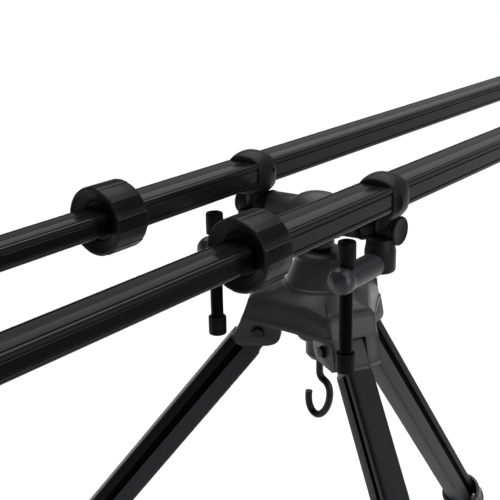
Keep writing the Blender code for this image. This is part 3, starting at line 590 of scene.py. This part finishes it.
def clamp_form(side, sign):
    """Ball, barrel, stem and lug in one moulding, bored for the rail, arm, screw and cap."""
    y = RAIL_Y[side]
    start = ARM_END_Y[side] + WASHER_T + 2 * GAP
    end = BARREL_END_Y[side]
    waist = (start + end) / 2
    half = (end - start) / 2
    profile = [(0, end), (BARREL_R - 1 * MM, end)]
    for i in range(25):
        u = 1 - i / 12
        pinch = 2.2 * MM * math.exp(-((u * half) / (2 * MM)) ** 2)
        edge = 1 * MM * max(0, abs(u) - 0.93) / 0.07
        profile.append((BARREL_R - pinch - edge * 0.6, waist + u * half * 0.985))
    profile += [(BARREL_R - 1 * MM, start), (0, start)]
    barrel = turned(profile, 64, along_y(0, 0, ARM_Z, sign))
    stem = rod(7.5 * MM, RAIL_Z, ARM_Z, 40, moved(-4.8 * MM, y, 0))
    lug = turned(mm([(0, -34), (10.9, -34), (11.6, -41), (12.1, -42.8), (12.2, -43.6),
                     (12.2, -58.2), (11.9, -59.3), (11.2, -60.2), (10.2, -60.6), (0, -60.6)],
                    RAIL_Z), 64, moved(LUG_X, y, 0))
    body = combined(clamp_ball(y), [barrel, stem, lug], "UNION")
    rail = extruded([rail_outline(OUTER_RAIL, OUTER_GROOVES, RAIL_GAP)], 60 * MM,
                    along_x(0, y, OUTER_Z))
    bore = rod(SHAFT_R + GAP, 80 * MM, 40 * MM, 48, along_y(0, 0, ARM_Z, sign))
    screw_hole = turned(mm([(0, -4), (4.3, -4)]) + mm([(4.3, 0), (9.9, 0)], SEAT_X + GAP)
                        + mm([(9.9, -30), (0, -30)]), 48, along_x(0, y, SCREW_Z))
    cap_room = rod(11.8 * MM, end + 12 * MM, end, 48, along_y(0, 0, ARM_Z, sign))
    cuts = [rail, bore, screw_hole, cap_room]
    for outward, depth in ((sign, 4.2 * MM), (-sign, 1 * MM)):
        flank = y + outward * (OUTER_RAIL[0] / 2 + 5 * MM)
        pocket = turned([(0, 6 * MM), (6.2 * MM, 6 * MM), (5.6 * MM, -depth * 0.7),
                         (4.6 * MM, -depth), (0, -depth)], 40, along_y(0, 0, 0, outward))
        pocket.transform(moved(-15.2 * MM, flank, RAIL_Z - 3.2 * MM)
                         @ Matrix.Diagonal((0.82, 1, 1.28, 1)))
        cuts.append(pocket)
    inner_flank = y - sign * (OUTER_RAIL[0] / 2 + 0.8 * MM)
    cuts.append(rod(2.2 * MM, 8 * MM, 0, 24,
                    along_y(-3.6 * MM, inner_flank, RAIL_Z + 1.4 * MM, -sign)))
    return combined(body, cuts, "DIFFERENCE")


# The clamp's moulding has a soft satin shine, its cap is duller, and the rubber washer between
# clamp and arm shows as a dark ring with no highlight.
clamp_nylon = moulded("satin_black_clamp_moulding", "#1b1b1c", 0.4, 0.3, 0.12)
cap_nylon = moulded("matt_black_end_cap_moulding", "#111112", 0.5, 0.3, 0.15)
washer_rubber = moulded("matt_black_washer_rubber", "#080808", 0.7, 0.4, 0.15)

for side, sign in SIDES.items():
    dress(f"rail_clamp_{side}", softened(clamp_form(side, sign), 0.35 * MM, 38), clamp_nylon, 50)
    w0 = ARM_END_Y[side] + GAP
    rim = mm([(12, 3), (12.5, 2.7), (12.7, 2.1), (12.7, 0.9), (12.5, 0.3), (12, 0)], w0)
    washer = turned([(SHAFT_R + GAP, w0 + WASHER_T), *rim, (SHAFT_R + GAP, w0)], 64,
                    along_y(0, 0, ARM_Z, sign))
    dress(f"friction_washer_{side}", washer, washer_rubber, 30)
    c0 = BARREL_END_Y[side] + GAP
    cap = turned(mm([(0, 2.3), (9.4, 2.35), (9.9, 2.6), (10.5, 2.5), (11.1, 2.1), (11.4, 1.5),
                     (11.4, 0), (0, 0)], c0), 64, along_y(0, 0, ARM_Z, sign))
    dress(f"clamp_end_cap_{side}", cap, cap_nylon, 30)

# Swivel head: an egg-shaped aluminium casting with two cross arms for the clamps and a
# turned neck that goes down into the bell of the hub. Powder coated black.

HUB_TOP = RAIL_Z - 57.5 * MM


# Powder coat on a sand-cast surface: dark grey, satin, with a faint orange-peel relief that
# makes the highlights soft and a little uneven.
def powder_coat(name, base, shine, peel_mm):
    material, tree, shader = new_material(name, Base_Color=linear(base), Roughness=shine,
                                          Specular_IOR_Level=0.3)
    place = add_node(tree, "ShaderNodeTexCoord")
    peel = add_node(tree, "ShaderNodeTexNoise", {},
                    {"Vector": place.outputs["Object"], "Scale": 1 / (peel_mm * MM), "Detail": 1.5})
    cloud = add_node(tree, "ShaderNodeTexNoise", {},
                     {"Vector": place.outputs["Object"], "Scale": 1 / (22.222 * MM), "Detail": 4})
    varied(tree, shader, base, (cloud.outputs["Fac"], 0.3, 0.7, shine - 0.07, shine + 0.05),
           (cloud.outputs["Fac"], 1.3), (peel.outputs["Fac"], 0.3, 0.05 * MM))
    return material


casting_coat = powder_coat("satin_black_powder_coat", "#2f2f30", 0.4, 0.8)


def head_form():
    """Egg-shaped body turned about the arms' axis, two stepped arms, and the neck with its seat."""
    dome = []
    for i in range(33):
        t = math.pi * i / 32
        dome.append((19.6 * MM * math.sin(t) ** 0.78, 27.5 * MM * math.cos(t)))
    dome[-1] = (0, -27.5 * MM)
    body = turned(dome, 72, along_y(0, 0, ARM_Z))
    halves = []
    for side in SIDES:
        end = ARM_END_Y[side]
        tip = BARREL_END_Y[side] - 0.8 * MM
        halves.append([(0, tip), (SHAFT_R - 1 * MM, tip), (SHAFT_R, tip - 1 * MM), (SHAFT_R, end),
                       (ARM_R - 0.9 * MM, end), (ARM_R - 0.25 * MM, end - 0.25 * MM),
                       (ARM_R, end - 0.9 * MM), (ARM_R + 0.9 * MM, 20 * MM)])
    left_half, right_half = halves
    arm = turned(left_half + [(r, -y) for r, y in reversed(right_half)], 64, along_y(0, 0, ARM_Z))
    neck = rod(8.8 * MM, ARM_Z, HUB_TOP - 27 * MM, 64)
    seat = turned(mm([(8.6, 9.5), (11.6, 9.5), (11.6, 3.4), (8.6, 3.4)], HUB_TOP), 64)
    return combined(body, [arm, neck, seat], "UNION")


dress("swivel_head", softened(head_form(), 0.5 * MM, 30), casting_coat, 50)

# Hub casting: a bell blended into a three-lobed skirt of hollow webs, a forked ear under
# each lobe for a leg, and a centre boss for the hook. One sand casting, powder coated.

SHOULDER = RAIL_Z - 91.6 * MM
LIP = RAIL_Z - 112 * MM
SKIRT_LOW = RAIL_Z - 114.8 * MM
BOSS_LOW = RAIL_Z - 134 * MM
SPIGOT_LOW = RAIL_Z - 153.4 * MM
PIVOT_R = 49 * MM
SLOT_HALF = 9.2 * MM
EAR_HALF = 20.6 * MM
LEGS = {"rear": 0.0, "front_left": 120.0, "front_right": 240.0}
BOLT_HOLE_R = 3.3 * MM

# Outline of the bell (radius, drop below its top) and of an ear (reach, height from the rails)
BELL = [(17.2, 0), (18.9, 1.2), (20.3, 2.8), (20.8, 3.6), (20.9, 5.2), (20.3, 6.2), (20.4, 7.0),
        (21.0, 8.4), (21.6, 10), (22.3, 12), (23.2, 14.2), (24.2, 16.6), (25.2, 19), (26.2, 21.4),
        (27.2, 23.8), (28.2, 26.2), (28.6, 26.8), (29.5, 27.2), (30.0, 28.0), (30.6, 29.2)]
EAR_SIDE = [(62.8, -112.8), (68.6, -131.4), (67.6, -134.4), (65.0, -136.4), (42, -136.4),
            (38.4, -135.6), (35.2, -134.4), (32.6, -132.2), (31.0, -129.6), (30.4, -126.6),
            (30.4, -112.8)]
END_STEPS = 10
WEB_STEPS = 36
# Local Y to world Z, local Z to world -Y
STAND_UP = Matrix(((1, 0, 0), (0, 0, -1), (0, 1, 0))).to_4x4()


def swung(degrees):
    """Turn about the upright axis of the hub."""
    return Matrix.Rotation(math.radians(degrees), 4, "Z")


def on_arm(turn, out, across):
    """Point that far out along a hub arm and across it."""
    return (out * math.cos(turn) - across * math.sin(turn),
            out * math.sin(turn) + across * math.cos(turn))


def lobe_ring(reach, half_width, waist, z_end, z_corner, z_waist):
    """Three arms cut square at reach, joined by hollow webs that pass the axis at waist."""
    points = []
    corner_reach = reach - 1.2 * MM
    for arm in range(3):
        a0 = math.radians(120 * arm)
        a1 = math.radians(120 * (arm + 1))
        for i in range(END_STEPS + 1):
            t = 0.94 * half_width * (2 * i / END_STEPS - 1)
            points.append((*on_arm(a0, reach, t), z_end))
        start = Vector(on_arm(a0, corner_reach, half_width))
        end = Vector(on_arm(a1, corner_reach, -half_width))
        middle = (start + end) / 2
        inward = -middle.normalized() * (middle.length - waist)
        for i in range(WEB_STEPS + 1):
            u = i / WEB_STEPS
            point = start.lerp(end, u) + inward * 4 * u * (1 - u)
            points.append((point.x, point.y, z_waist + (z_corner - z_waist) * (2 * u - 1) ** 2))
    return points


def circle_like(outline, radius, z):
    """Circle whose points stand in the same directions as those of an outline."""
    return [(radius * x / math.hypot(x, y), radius * y / math.hypot(x, y), z)
            for x, y, _ in outline]


def between(ring_a, ring_b, mix, rise):
    """Ring between two others, lifted or sunk by rise."""
    return [tuple(Vector(a).lerp(Vector(b), mix) + Vector((0, 0, rise)))
            for a, b in zip(ring_a, ring_b)]


def hub_form():
    """Bell and skirt skinned through rings, with ears and boss, less forks, bores and pockets."""
    shoulder = lobe_ring(52.6 * MM, 19 * MM, 38.6 * MM, SHOULDER - 1 * MM, SHOULDER - 4.5 * MM,
                         SHOULDER - 0.6 * MM)
    brow = lobe_ring(56.8 * MM, 21.4 * MM, 41.8 * MM, SHOULDER - 4.5 * MM, SHOULDER - 11.5 * MM,
                     SHOULDER - 4.6 * MM)
    hem = lobe_ring(61.4 * MM, 20.6 * MM, 45.2 * MM, LIP + 0.8 * MM, LIP + 0.8 * MM, LIP + 0.8 * MM)
    lip = lobe_ring(62.4 * MM, 21.4 * MM, 46.2 * MM, LIP, LIP, LIP)
    low = lobe_ring(62.9 * MM, 21.4 * MM, 46.2 * MM, SKIRT_LOW, SKIRT_LOW, SKIRT_LOW)
    rings = [circle_like(shoulder, r * MM, HUB_TOP - drop * MM) for r, drop in BELL]
    foot_ring = rings[-1]
    for mix in (0.12, 0.26, 0.42, 0.6, 0.78, 0.9):
        rings.append(between(foot_ring, shoulder, mix, -2.9 * MM * mix * (1 - mix)))
    rings += [shoulder, brow]
    for mix in (0.25, 0.5, 0.75):
        rings.append(between(brow, hem, mix, 0))
    rings += [hem, lip, low]
    body = loft(rings)
    ears = [extruded([mm(reversed(EAR_SIDE), RAIL_Z)], 2 * EAR_HALF, swung(degrees) @ STAND_UP)
            for degrees in LEGS.values()]
    boss = turned(mm([(0, 24), (19.5, 24), (19.5, 3.4), (19.1, 1.6), (18.2, 0.5), (16.8, 0),
                      (11.8, 0)], BOSS_LOW)
                  + mm([(11.8, 4.5), (8.4, 0), (0, 0)], SPIGOT_LOW), 72)
    body = combined(body, ears + [boss], "UNION")
    cuts = []
    for degrees in LEGS.values():
        turn = swung(degrees)
        slot = rounded_rect(52 * MM, 2 * SLOT_HALF, 1 * MM, 3)
        cuts.append(extruded([slot], 40 * MM, turn @ moved(60 * MM, 0, RAIL_Z - 132 * MM)))
        cuts.append(rod(BOLT_HOLE_R, 30 * MM, -30 * MM, 32, turn @ along_y(PIVOT_R, 0, PIVOT_Z)))
        pocket = [(x + 24 * MM, y) for x, y in rounded_rect(15 * MM, 26 * MM, 5 * MM, 6)]
        cuts.append(extruded([pocket], 20 * MM, swung(degrees + 60) @ moved(6 * MM, 0, SKIRT_LOW)))
    cuts.append(rod(9.1 * MM, 1 * MM, -28 * MM, 64, moved(0, 0, HUB_TOP)))
    cuts.append(rod(3.4 * MM, 35 * MM, -1 * MM, 32, moved(0, 0, SPIGOT_LOW)))
    return combined(body, cuts, "DIFFERENCE")


dress("hub_casting", softened(hub_form(), 0.45 * MM, 34), casting_coat, 42)

# Weight hook: 6 mm steel wire bent to an open hook, screwed up into the boss of the hub
# and black zinc plated.


# Black zinc plate on steel: darker and glossier than the anodising, slightly cloudy. The
# clouds are drawn 4.5 mm wide, coarser than real ones, so that they show.
def zinc_plate(name, base, shine):
    material, tree, shader = new_material(name, Base_Color=linear(base), Metallic=0.6,
                                          Roughness=shine, Specular_IOR_Level=0.4)
    place = add_node(tree, "ShaderNodeTexCoord")
    cloud = add_node(tree, "ShaderNodeTexNoise", {},
                     {"Vector": place.outputs["Object"], "Scale": 1 / (4.5455 * MM), "Detail": 4})
    fac = cloud.outputs["Fac"]
    varied(tree, shader, base, (fac, 0.3, 0.7, shine - 0.06, shine + 0.08), (fac, 1.6),
           (fac, 0.2, 0.02 * MM))
    return material


hook_plating = zinc_plate("black_zinc_plated_wire", "#1d1d1e", 0.3)
bolt_plating = zinc_plate("black_zinc_plated_bolt", "#222224", 0.34)


def smooth_path(points, steps):
    """Catmull-Rom curve through the points."""
    vectors = [Vector(p) for p in points]
    padded = [2 * vectors[0] - vectors[1]] + vectors + [2 * vectors[-1] - vectors[-2]]
    path = []
    for a, b, c, d in zip(padded, padded[1:], padded[2:], padded[3:]):
        for i in range(steps):
            t = i / steps
            path.append(0.5 * (2 * b + (c - a) * t + (2 * a - 5 * b + 4 * c - d) * t * t
                               + (3 * b - a - 3 * c + d) * t ** 3))
    path.append(vectors[-1])
    return path


def swept(points, radius, sides):
    """Round wire along a path, with flat ends."""
    curve = bpy.data.curves.new("wire", "CURVE")
    curve.dimensions = "3D"
    curve.bevel_depth = radius
    curve.bevel_resolution = sides
    curve.use_fill_caps = True
    spline = curve.splines.new("POLY")
    spline.points.add(len(points) - 1)
    for point, co in zip(spline.points, points):
        point.co = (*co, 1)
    return evaluated(bpy.data.objects.new("wire", curve))


HOOK_R = 3.1 * MM
HOOK_BENDS = [(0, -120), (0, -165), (-0.5, -169.5), (-2.6, -172.6), (-6.0, -174.6), (-8.6, -177.4),
              (-10.2, -182), (-10.3, -188), (-9.0, -194.4), (-6.2, -200.8), (-2.2, -205.8),
              (2.6, -208.0), (7.4, -206.0), (10.2, -201.0), (11.2, -195), (10.9, -188.2)]
wire = smooth_path([(0, y * MM, RAIL_Z + z * MM) for y, z in HOOK_BENDS], 5)
dress("weight_hook", softened(swept(wire, HOOK_R, 6), 0.4 * MM, 60), hook_plating, 50)

# Clamp screws: turned aluminium, black anodised, with a sleeve that enters the lug and a
# ball-shaped head whose flat cone face was left from the lathe. A tee bar slides through it.

TEE_X = -57 * MM
BALL_HEAD_X = -63 * MM
BALL_HEAD_R = 10.6 * MM

# Fine lathe rings round the screw's axis spread its highlight. The bar's paint and the rubber
# of its caps stay dead black beside it.
screw_anodising = anodised("turned_black_anodised_screw", "#3c3c3e", 0.4, (1, 0.05, 0.05))
bar_paint = moulded("dull_black_painted_tee_bar", "#040404", 0.34, 0.5, 0.04)
cap_rubber = moulded("matt_black_tee_bar_cap_rubber", "#070707", 0.5, 0.6, 0.1)


def clamp_screw_form(y0):
    """Cone face, ball head, sleeve and shank in one turned piece, cross-bored for the tee bar."""
    ball = [math.radians(-41 + 41 * (i + 1) / 12) for i in range(12)]
    ball += [math.radians(3 * i) for i in range(1, 9)]
    profile = mm([(0, -9.9), (1.2, -9.7), (7.6, -6.9)], BALL_HEAD_X)
    profile += [(BALL_HEAD_R * math.cos(t), BALL_HEAD_X + BALL_HEAD_R * math.sin(t)) for t in ball]
    profile += mm([(9.5, 5.2), (9.6, 6.2)], BALL_HEAD_X)
    profile += mm([(9.6, -0.6), (9.2, 0), (4, 0)], SEAT_X) + mm([(4, -6), (0, -5)])
    screw = turned(list(reversed(profile)), 96, along_x(0, y0, SCREW_Z))
    hole = rod(5.4 * MM, 14 * MM, -14 * MM, 48, moved(TEE_X, y0, SCREW_Z))
    return combined(screw, [hole], "DIFFERENCE")


for side, y0 in RAIL_Y.items():
    dress(f"clamp_screw_{side}", clamp_screw_form(y0), screw_anodising, 32)

    # sliding tee bar: 10 mm rod, closed below by a solid cap and above by an open one
    upright = moved(TEE_X, y0, RAIL_Z)
    bar = turned(mm([(0, -30), (4.5, -30), (5.1, -30.6), (5.1, -124.4), (4.5, -125), (0, -125)]),
                 48, upright)
    dress(f"tee_bar_{side}", bar, bar_paint, 30)
    top = turned(mm([(3.4, -24.6), (3.9, -24.1), (5.7, -24), (6.4, -24.3), (6.8, -25), (6.9, -26),
                     (6.9, -41.0), (6.5, -41.6), (5.3, -41.6), (5.3, -29), (3.4, -29)]),
                 48, upright)
    dress(f"tee_bar_top_cap_{side}", top, cap_rubber, 35)
    low = turned(mm([(5.3, -112.3), (5.7, -112), (6.7, -112), (7.2, -112.4), (7.3, -113.4),
                     (7.3, -126), (7.0, -127), (6.0, -127.5), (0, -127.5), (0, -125.3),
                     (5.3, -125.3)]), 48, upright)
    dress(f"tee_bar_bottom_cap_{side}", low, cap_rubber, 35)

# Legs: a moulded knuckle turns on a bolt in each fork and plugs into an extruded upper tube
# with a channel down both flanks. A lock ring turned by hand clamps the lower tube, which
# ends in a rubber foot. Local frame: X outward across the leg, Y along the pivot, Z up the leg.

LEG_TILT = math.radians(38)
LEG_REACH = PIVOT_Z / math.cos(LEG_TILT)
LEG_T = 20.8 * MM
LEG_D = 28.4 * MM
TONGUE_T = 17.2 * MM
TONGUE_R = 12.3 * MM
ROOT_SHARE = (0.848, 0.817)
LEG_BEAD = 11.6 * MM
CHANNEL_X = 3.2 * MM
KNUCKLE_LOW = -22.5 * MM
TUBE_LOW = -400 * MM
LOCK_TOP = -384 * MM
LOCK_LOW = -410 * MM
FLUTE_DEPTH = 0.9 * MM
INNER_TOP = -300 * MM
INNER_LOW = -LEG_REACH + 16 * MM
INNER_T = 12.8 * MM
INNER_D = 19.6 * MM
FOOT_R_MM = 12.09

# The leg extrusions are blasted before dyeing and are duller than the rails. The inner bead
# is painted greyer as painted light, and the outer bead darker and the channels dead black as
# painted shade. Knuckles and lock rings are satin mouldings that shine more, and the feet are
# dull rubber.
ALONG_Z = (1, 1, 0.02)
leg_anodising = anodised("satin_black_anodised_leg_tube", "#242425", 0.36, ALONG_Z,
                         0.05, 0.05)
painted_light_inner_bead = anodised("painted_light_anodised_inner_leg_bead", "#2f2f31", 0.5, ALONG_Z,
                      0.1, 0.12)
painted_shade_outer_bead = anodised("painted_shade_anodised_outer_leg_bead", "#131314", 0.4, ALONG_Z,
                      0.05, 0.05)
painted_shade_channel = moulded("painted_shade_channel_floor", "#030303", 0.8, 0.4, 0.03)
knuckle_nylon = moulded("satin_black_knuckle_moulding", "#222223", 0.42, 0.3, 0.4)
lock_nylon = moulded("satin_black_leg_lock_moulding", "#131314", 0.4, 0.3, 0.4)
foot_rubber = moulded("matt_black_foot_rubber", "#0c0c0c", 0.75, 0.5, 0.25)


def leg_matrix(degrees):
    """Frame of a leg: at its pivot, swung to its side of the hub and leant outward."""
    return swung(degrees) @ moved(PIVOT_R, 0, PIVOT_Z) @ Matrix.Rotation(-LEG_TILT, 4, "Y")


def leg_outline():
    """Upright oblong section with round edges and a channel sunk between beads on each flank."""
    b = LEG_T / 2
    lip = LEG_D / 2 - LEG_BEAD
    quarter = corner(LEG_D / 2, b, 3 * MM, 8)
    quarter += [(lip + 1 * MM, b), (lip + 0.5 * MM, b - 0.1 * MM), (lip + 0.2 * MM, b - 0.5 * MM),
                (lip, b - 1.5 * MM), (lip - 0.3 * MM, b - 1.8 * MM)]
    edge = lip + 1.1 * MM
    return [(x + CHANNEL_X if abs(x) < edge else x, y) for x, y in mirrored_quarter(quarter)]


def leg_band(face):
    """Finish: 0 on narrow faces and ends, 1 painted light on the inner bead, 2 painted shade in
    channels, 3 painted shade on the outer bead.
    """
    if abs(face.normal.z) > 0.5:
        return 0
    across = abs(face.center.x - CHANNEL_X)
    in_channel = across < LEG_D / 2 - LEG_BEAD + 0.9 * MM
    if in_channel and INNER_T / 2 + MM < abs(face.center.y) < LEG_T / 2 - 0.2 * MM:
        return 2
    if face.center.x < CHANNEL_X:
        return 1
    return 3 if abs(face.normal.y) > 0.7 else 0


def knuckle_form(place):
    """Tongue round the pivot with a flat stop heel, full section below, plug inside the tube."""
    heel = 12.5 * MM
    top = math.pi / 2 - LEG_TILT
    stop = (heel * math.cos(top) + 9 * MM * math.sin(top),
            heel * math.sin(top) - 9 * MM * math.cos(top))
    tongue = [(stop[0] + 0.6 * MM * math.sin(top), 0), stop]
    for i in range(29):
        t = top + (math.pi - top) * i / 28
        tongue.append((TONGUE_R * math.cos(t), TONGUE_R * math.sin(t)))
    tongue += [(-TONGUE_R, KNUCKLE_LOW), (TONGUE_R, KNUCKLE_LOW)]
    body = softened(extruded([tongue], TONGUE_T - 0.2 * MM, STAND_UP), 1.4 * MM, 60, 4)
    full = rounded_rect(LEG_D, LEG_T, 3.4 * MM, 8)
    root = [(x * ROOT_SHARE[0], y * ROOT_SHARE[1]) for x, y in full]
    levels = ((root, -14 * MM), (root, -17.6 * MM), (full, -20.2 * MM), (full, KNUCKLE_LOW))
    shoulder = loft([[(x, y, z) for x, y in outline] for outline, z in levels])
    plug = extruded([rounded_rect(INNER_D + 0.2 * MM, INNER_T + 0.2 * MM, 2 * MM)], 22 * MM,
                    moved(0, 0, KNUCKLE_LOW - 9 * MM))
    bore = rod(BOLT_HOLE_R, 12 * MM, -12 * MM, 32, along_y(0))
    body = combined(body, [shoulder, plug], "UNION")
    body = combined(body, [bore], "DIFFERENCE")
    body.transform(place)
    return body


def bolt_form(place):
    """Hexagon-headed bolt with a washer face, and a nut on the other ear."""
    ends = []
    for sign in (1, -1):
        outward = along_y(0, sign * (EAR_HALF + GAP), 0, sign)
        hexagon = turned(mm([(0, 3), (4.3, 3), (5.2, 2.5), (5.2, 0.4), (0, 0.4)]), 6, outward)
        ends += [rod(5.2 * MM, 0.5 * MM, 0, 36, outward), hexagon]
    shank = rod(3 * MM, EAR_HALF + 2 * MM, -EAR_HALF - 2 * MM, 32, along_y(0))
    bolt = combined(shank, ends, "UNION")
    bolt.transform(place)
    return bolt


def lock_form(place):
    """Ring with sixteen shallow finger flutes between two plain collars."""
    rings = []
    outside = mm([(20.4, 0), (21.2, -0.5), (21.6, -1.5), (21.6, -4), (21.1, -5)], LOCK_TOP)
    outside += mm([(21.1, 5), (21.6, 4), (21.5, 2.4), (20.8, 1), (19.6, 0)], LOCK_LOW)
    for r, z in outside:
        fluted = LOCK_LOW + 4.5 * MM < z < LOCK_TOP - 4.5 * MM
        ring = []
        for i in range(128):
            a = math.tau * i / 128
            dip = FLUTE_DEPTH * max(0, math.cos(16 * a)) if fluted else 0
            ring.append(((r - dip) * math.cos(a), (r - dip) * math.sin(a), z))
        rings.append(ring)
    body = loft(rings)
    room = turned(mm([(0, 1), (18.9, 1)], LOCK_TOP) + mm([(18.9, -2), (11.8, -2)], TUBE_LOW)
                  + mm([(11.8, -1), (0, -1)], LOCK_LOW), 64)
    body = combined(body, [room], "DIFFERENCE")
    body.transform(place)
    return body


def foot_form(place, degrees):
    """Ribbed rubber boot on the lower tube, cut flat where it stands on the ground."""
    low = -LEG_REACH - 16 * MM
    profile = mm([(0, 18), (11.346, 18), (FOOT_R_MM, 17.2)], INNER_LOW)
    for k in range(4):
        z = 13.5 - 4 * k
        profile += mm([(FOOT_R_MM, z), (11.439, z - 0.5), (11.439, z - 1.2), (FOOT_R_MM, z - 1.7)],
                      INNER_LOW)
    profile += mm([(FOOT_R_MM, -4)], INNER_LOW)
    profile += mm([(11.718, 8), (10.695, 4), (9.672, 1.4), (8.37, 0), (0, 0)], low)
    foot = turned(profile, 64, place)
    socket = extruded([rounded_rect(INNER_D + 2 * GAP, INNER_T + 2 * GAP, 2.4 * MM)], 60 * MM,
                      place @ moved(0, 0, INNER_LOW - GAP + 30 * MM))
    reach = PIVOT_R + LEG_REACH * math.sin(LEG_TILT)
    ground = extruded([rounded_rect(120 * MM, 120 * MM, 5 * MM)], 60 * MM,
                      swung(degrees) @ moved(reach, 0, -30 * MM))
    return combined(foot, [socket, ground], "DIFFERENCE")


for leg, degrees in LEGS.items():
    place = leg_matrix(degrees)
    dress(f"leg_knuckle_{leg}", knuckle_form(place), knuckle_nylon, 40)
    bolt = bolt_form(swung(degrees) @ moved(PIVOT_R, 0, PIVOT_Z))
    dress(f"leg_pivot_bolt_{leg}", softened(bolt, 0.2 * MM, 40), bolt_plating, 30)
    hollow = rounded_rect(INNER_D + 0.8 * MM, INNER_T + 0.8 * MM, 1.2 * MM, 2)
    tube_top = KNUCKLE_LOW - GAP
    tube = extruded([leg_outline(), hollow], tube_top - TUBE_LOW,
                    moved(0, 0, (tube_top + TUBE_LOW) / 2))
    # The bands lay painted light on the inner bead, and painted shade on the outer bead and in the
    # channels.
    bands = [leg_band(face) for face in tube.polygons]
    tube.transform(place)
    dress(f"leg_outer_tube_{leg}", tube, leg_anodising, 28,
          (painted_light_inner_bead, painted_shade_channel, painted_shade_outer_bead), bands)
    dress(f"leg_lock_{leg}", lock_form(place), lock_nylon, 35)
    inner = extruded([rounded_rect(INNER_D, INNER_T, 2.4 * MM, 8)], INNER_TOP - INNER_LOW,
                     place @ moved(0, 0, (INNER_TOP + INNER_LOW) / 2))
    dress(f"leg_inner_tube_{leg}", inner, leg_anodising, 35)
    dress(f"leg_foot_{leg}", foot_form(place, degrees), foot_rubber, 35)

# Cross bars: flat extruded bars that join the rail ends, with a socket block over each rail,
# a thumb screw under each block and three screw-in bushes for rod rests.

BAR_X = RAIL_END_X + 10 * MM
BAR_HALF = 120 * MM
KNOB_X = RAIL_END_X - 12 * MM
BAR_H = 20 * MM
STUD_Y = {"left": 100 * MM, "middle": 0.0, "right": -100 * MM}

# The bars are anodised like the rails. The plated bushes on them shine more, and the moulded
# knobs less.
bar_anodising = anodised("satin_black_anodised_cross_bar", "#202021", 0.24, (1, 0.02, 1))
bush_plating = zinc_plate("black_zinc_plated_bush", "#262628", 0.3)
knob_nylon = moulded("satin_black_thumb_screw_moulding", "#161617", 0.42, 0.3, 0.4)


def block(x, y, size, radius, depth):
    """Upright block with round vertical edges, centred on the rails' height."""
    return extruded([rounded_rect(*size, radius)], depth, moved(x, y, RAIL_Z))


def cross_bar_form(end, rail):
    """Bar with a socket block over each rail, bored for the thumb screws and the bushes."""
    across = moved(end * BAR_X, 0, RAIL_Z) @ STAND_UP
    bar = softened(extruded([rounded_rect(18 * MM, BAR_H, 4 * MM, 8)], 2 * BAR_HALF, across),
                   0.6 * MM, 60)
    blocks = []
    cuts = []
    for y in RAIL_Y.values():
        shape = block(end * (BAR_X - 20 * MM), y, (40 * MM, rail[0] + 6 * MM), 1.6 * MM,
                      rail[1] + 6 * MM)
        blocks.append(softened(shape, 1.2 * MM, 60, 3))
        cuts.append(block(end * (RAIL_END_X - 25 * MM), y, (50 * MM + 2 * GAP, rail[0] + 2 * GAP),
                          0.3 * MM, rail[1] + 2 * GAP))
        cuts.append(rod(3.3 * MM, -1 * MM, -20 * MM, 32, moved(end * KNOB_X, y, RAIL_Z)))
    for y in STUD_Y.values():
        cuts.append(rod(5.3 * MM, 12 * MM, -12 * MM, 40, moved(end * BAR_X, y, RAIL_Z)))
    return combined(combined(bar, blocks, "UNION"), cuts, "DIFFERENCE")


def bush_form(x, y):
    """Screw-in bush with a threaded bore and a flange, drawn without its knurl."""
    top = BAR_H / 2 + GAP
    thread = []
    for k in range(9):
        thread += [(3.9, 8.4 - k), (4.3, 7.9 - k)]
    outside = [(4.6, 9), (7, 9), (7.5, 8.6), (7.6, 4.6), (9.2, 4.3), (9.6, 3.8), (9.6, 0.6),
               (9.1, 0), (5, 0)]
    foot = [(5 * MM, -BAR_H / 2), (0, -BAR_H / 2), (0, -2 * MM), (3.9 * MM, -2 * MM)]
    return turned(mm(thread[::-1] + outside, top) + foot, 48, moved(x, y, RAIL_Z))


def thumb_screw_form(x, y, rail_h):
    """Screw with a lobed knob."""
    shank_top = -rail_h / 2 - GAP
    knob_top = shank_top - 3 * MM
    rings = []
    for shrink, drop in ((1.2, 0), (0.4, 0.25), (0, 0.9), (0, 9.1), (0.4, 9.75), (1.2, 10)):
        ring = []
        for i in range(72):
            a = math.tau * i / 72
            r = (7.35 + 0.65 * math.cos(6 * a) - shrink) * MM
            ring.append((r * math.cos(a), r * math.sin(a), knob_top - drop * MM))
        rings.append(ring)
    knob = loft(rings)
    shank = rod(3 * MM, shank_top, knob_top - 1 * MM, 32)
    screw = combined(knob, [shank], "UNION")
    screw.transform(moved(x, y, RAIL_Z))
    return screw


for place, end, rail in (("front", -1, INNER_RAIL), ("rear", 1, OUTER_RAIL)):
    dress(f"{place}_cross_bar", cross_bar_form(end, rail), bar_anodising, 35)
    for side, y in STUD_Y.items():
        dress(f"rod_rest_stud_{place}_{side}", bush_form(end * BAR_X, y), bush_plating, 35)
    for side, y in RAIL_Y.items():
        screw = thumb_screw_form(end * KNOB_X, y, rail[1])
        dress(f"bar_thumb_screw_{place}_{side}", screw, knob_nylon, 35)
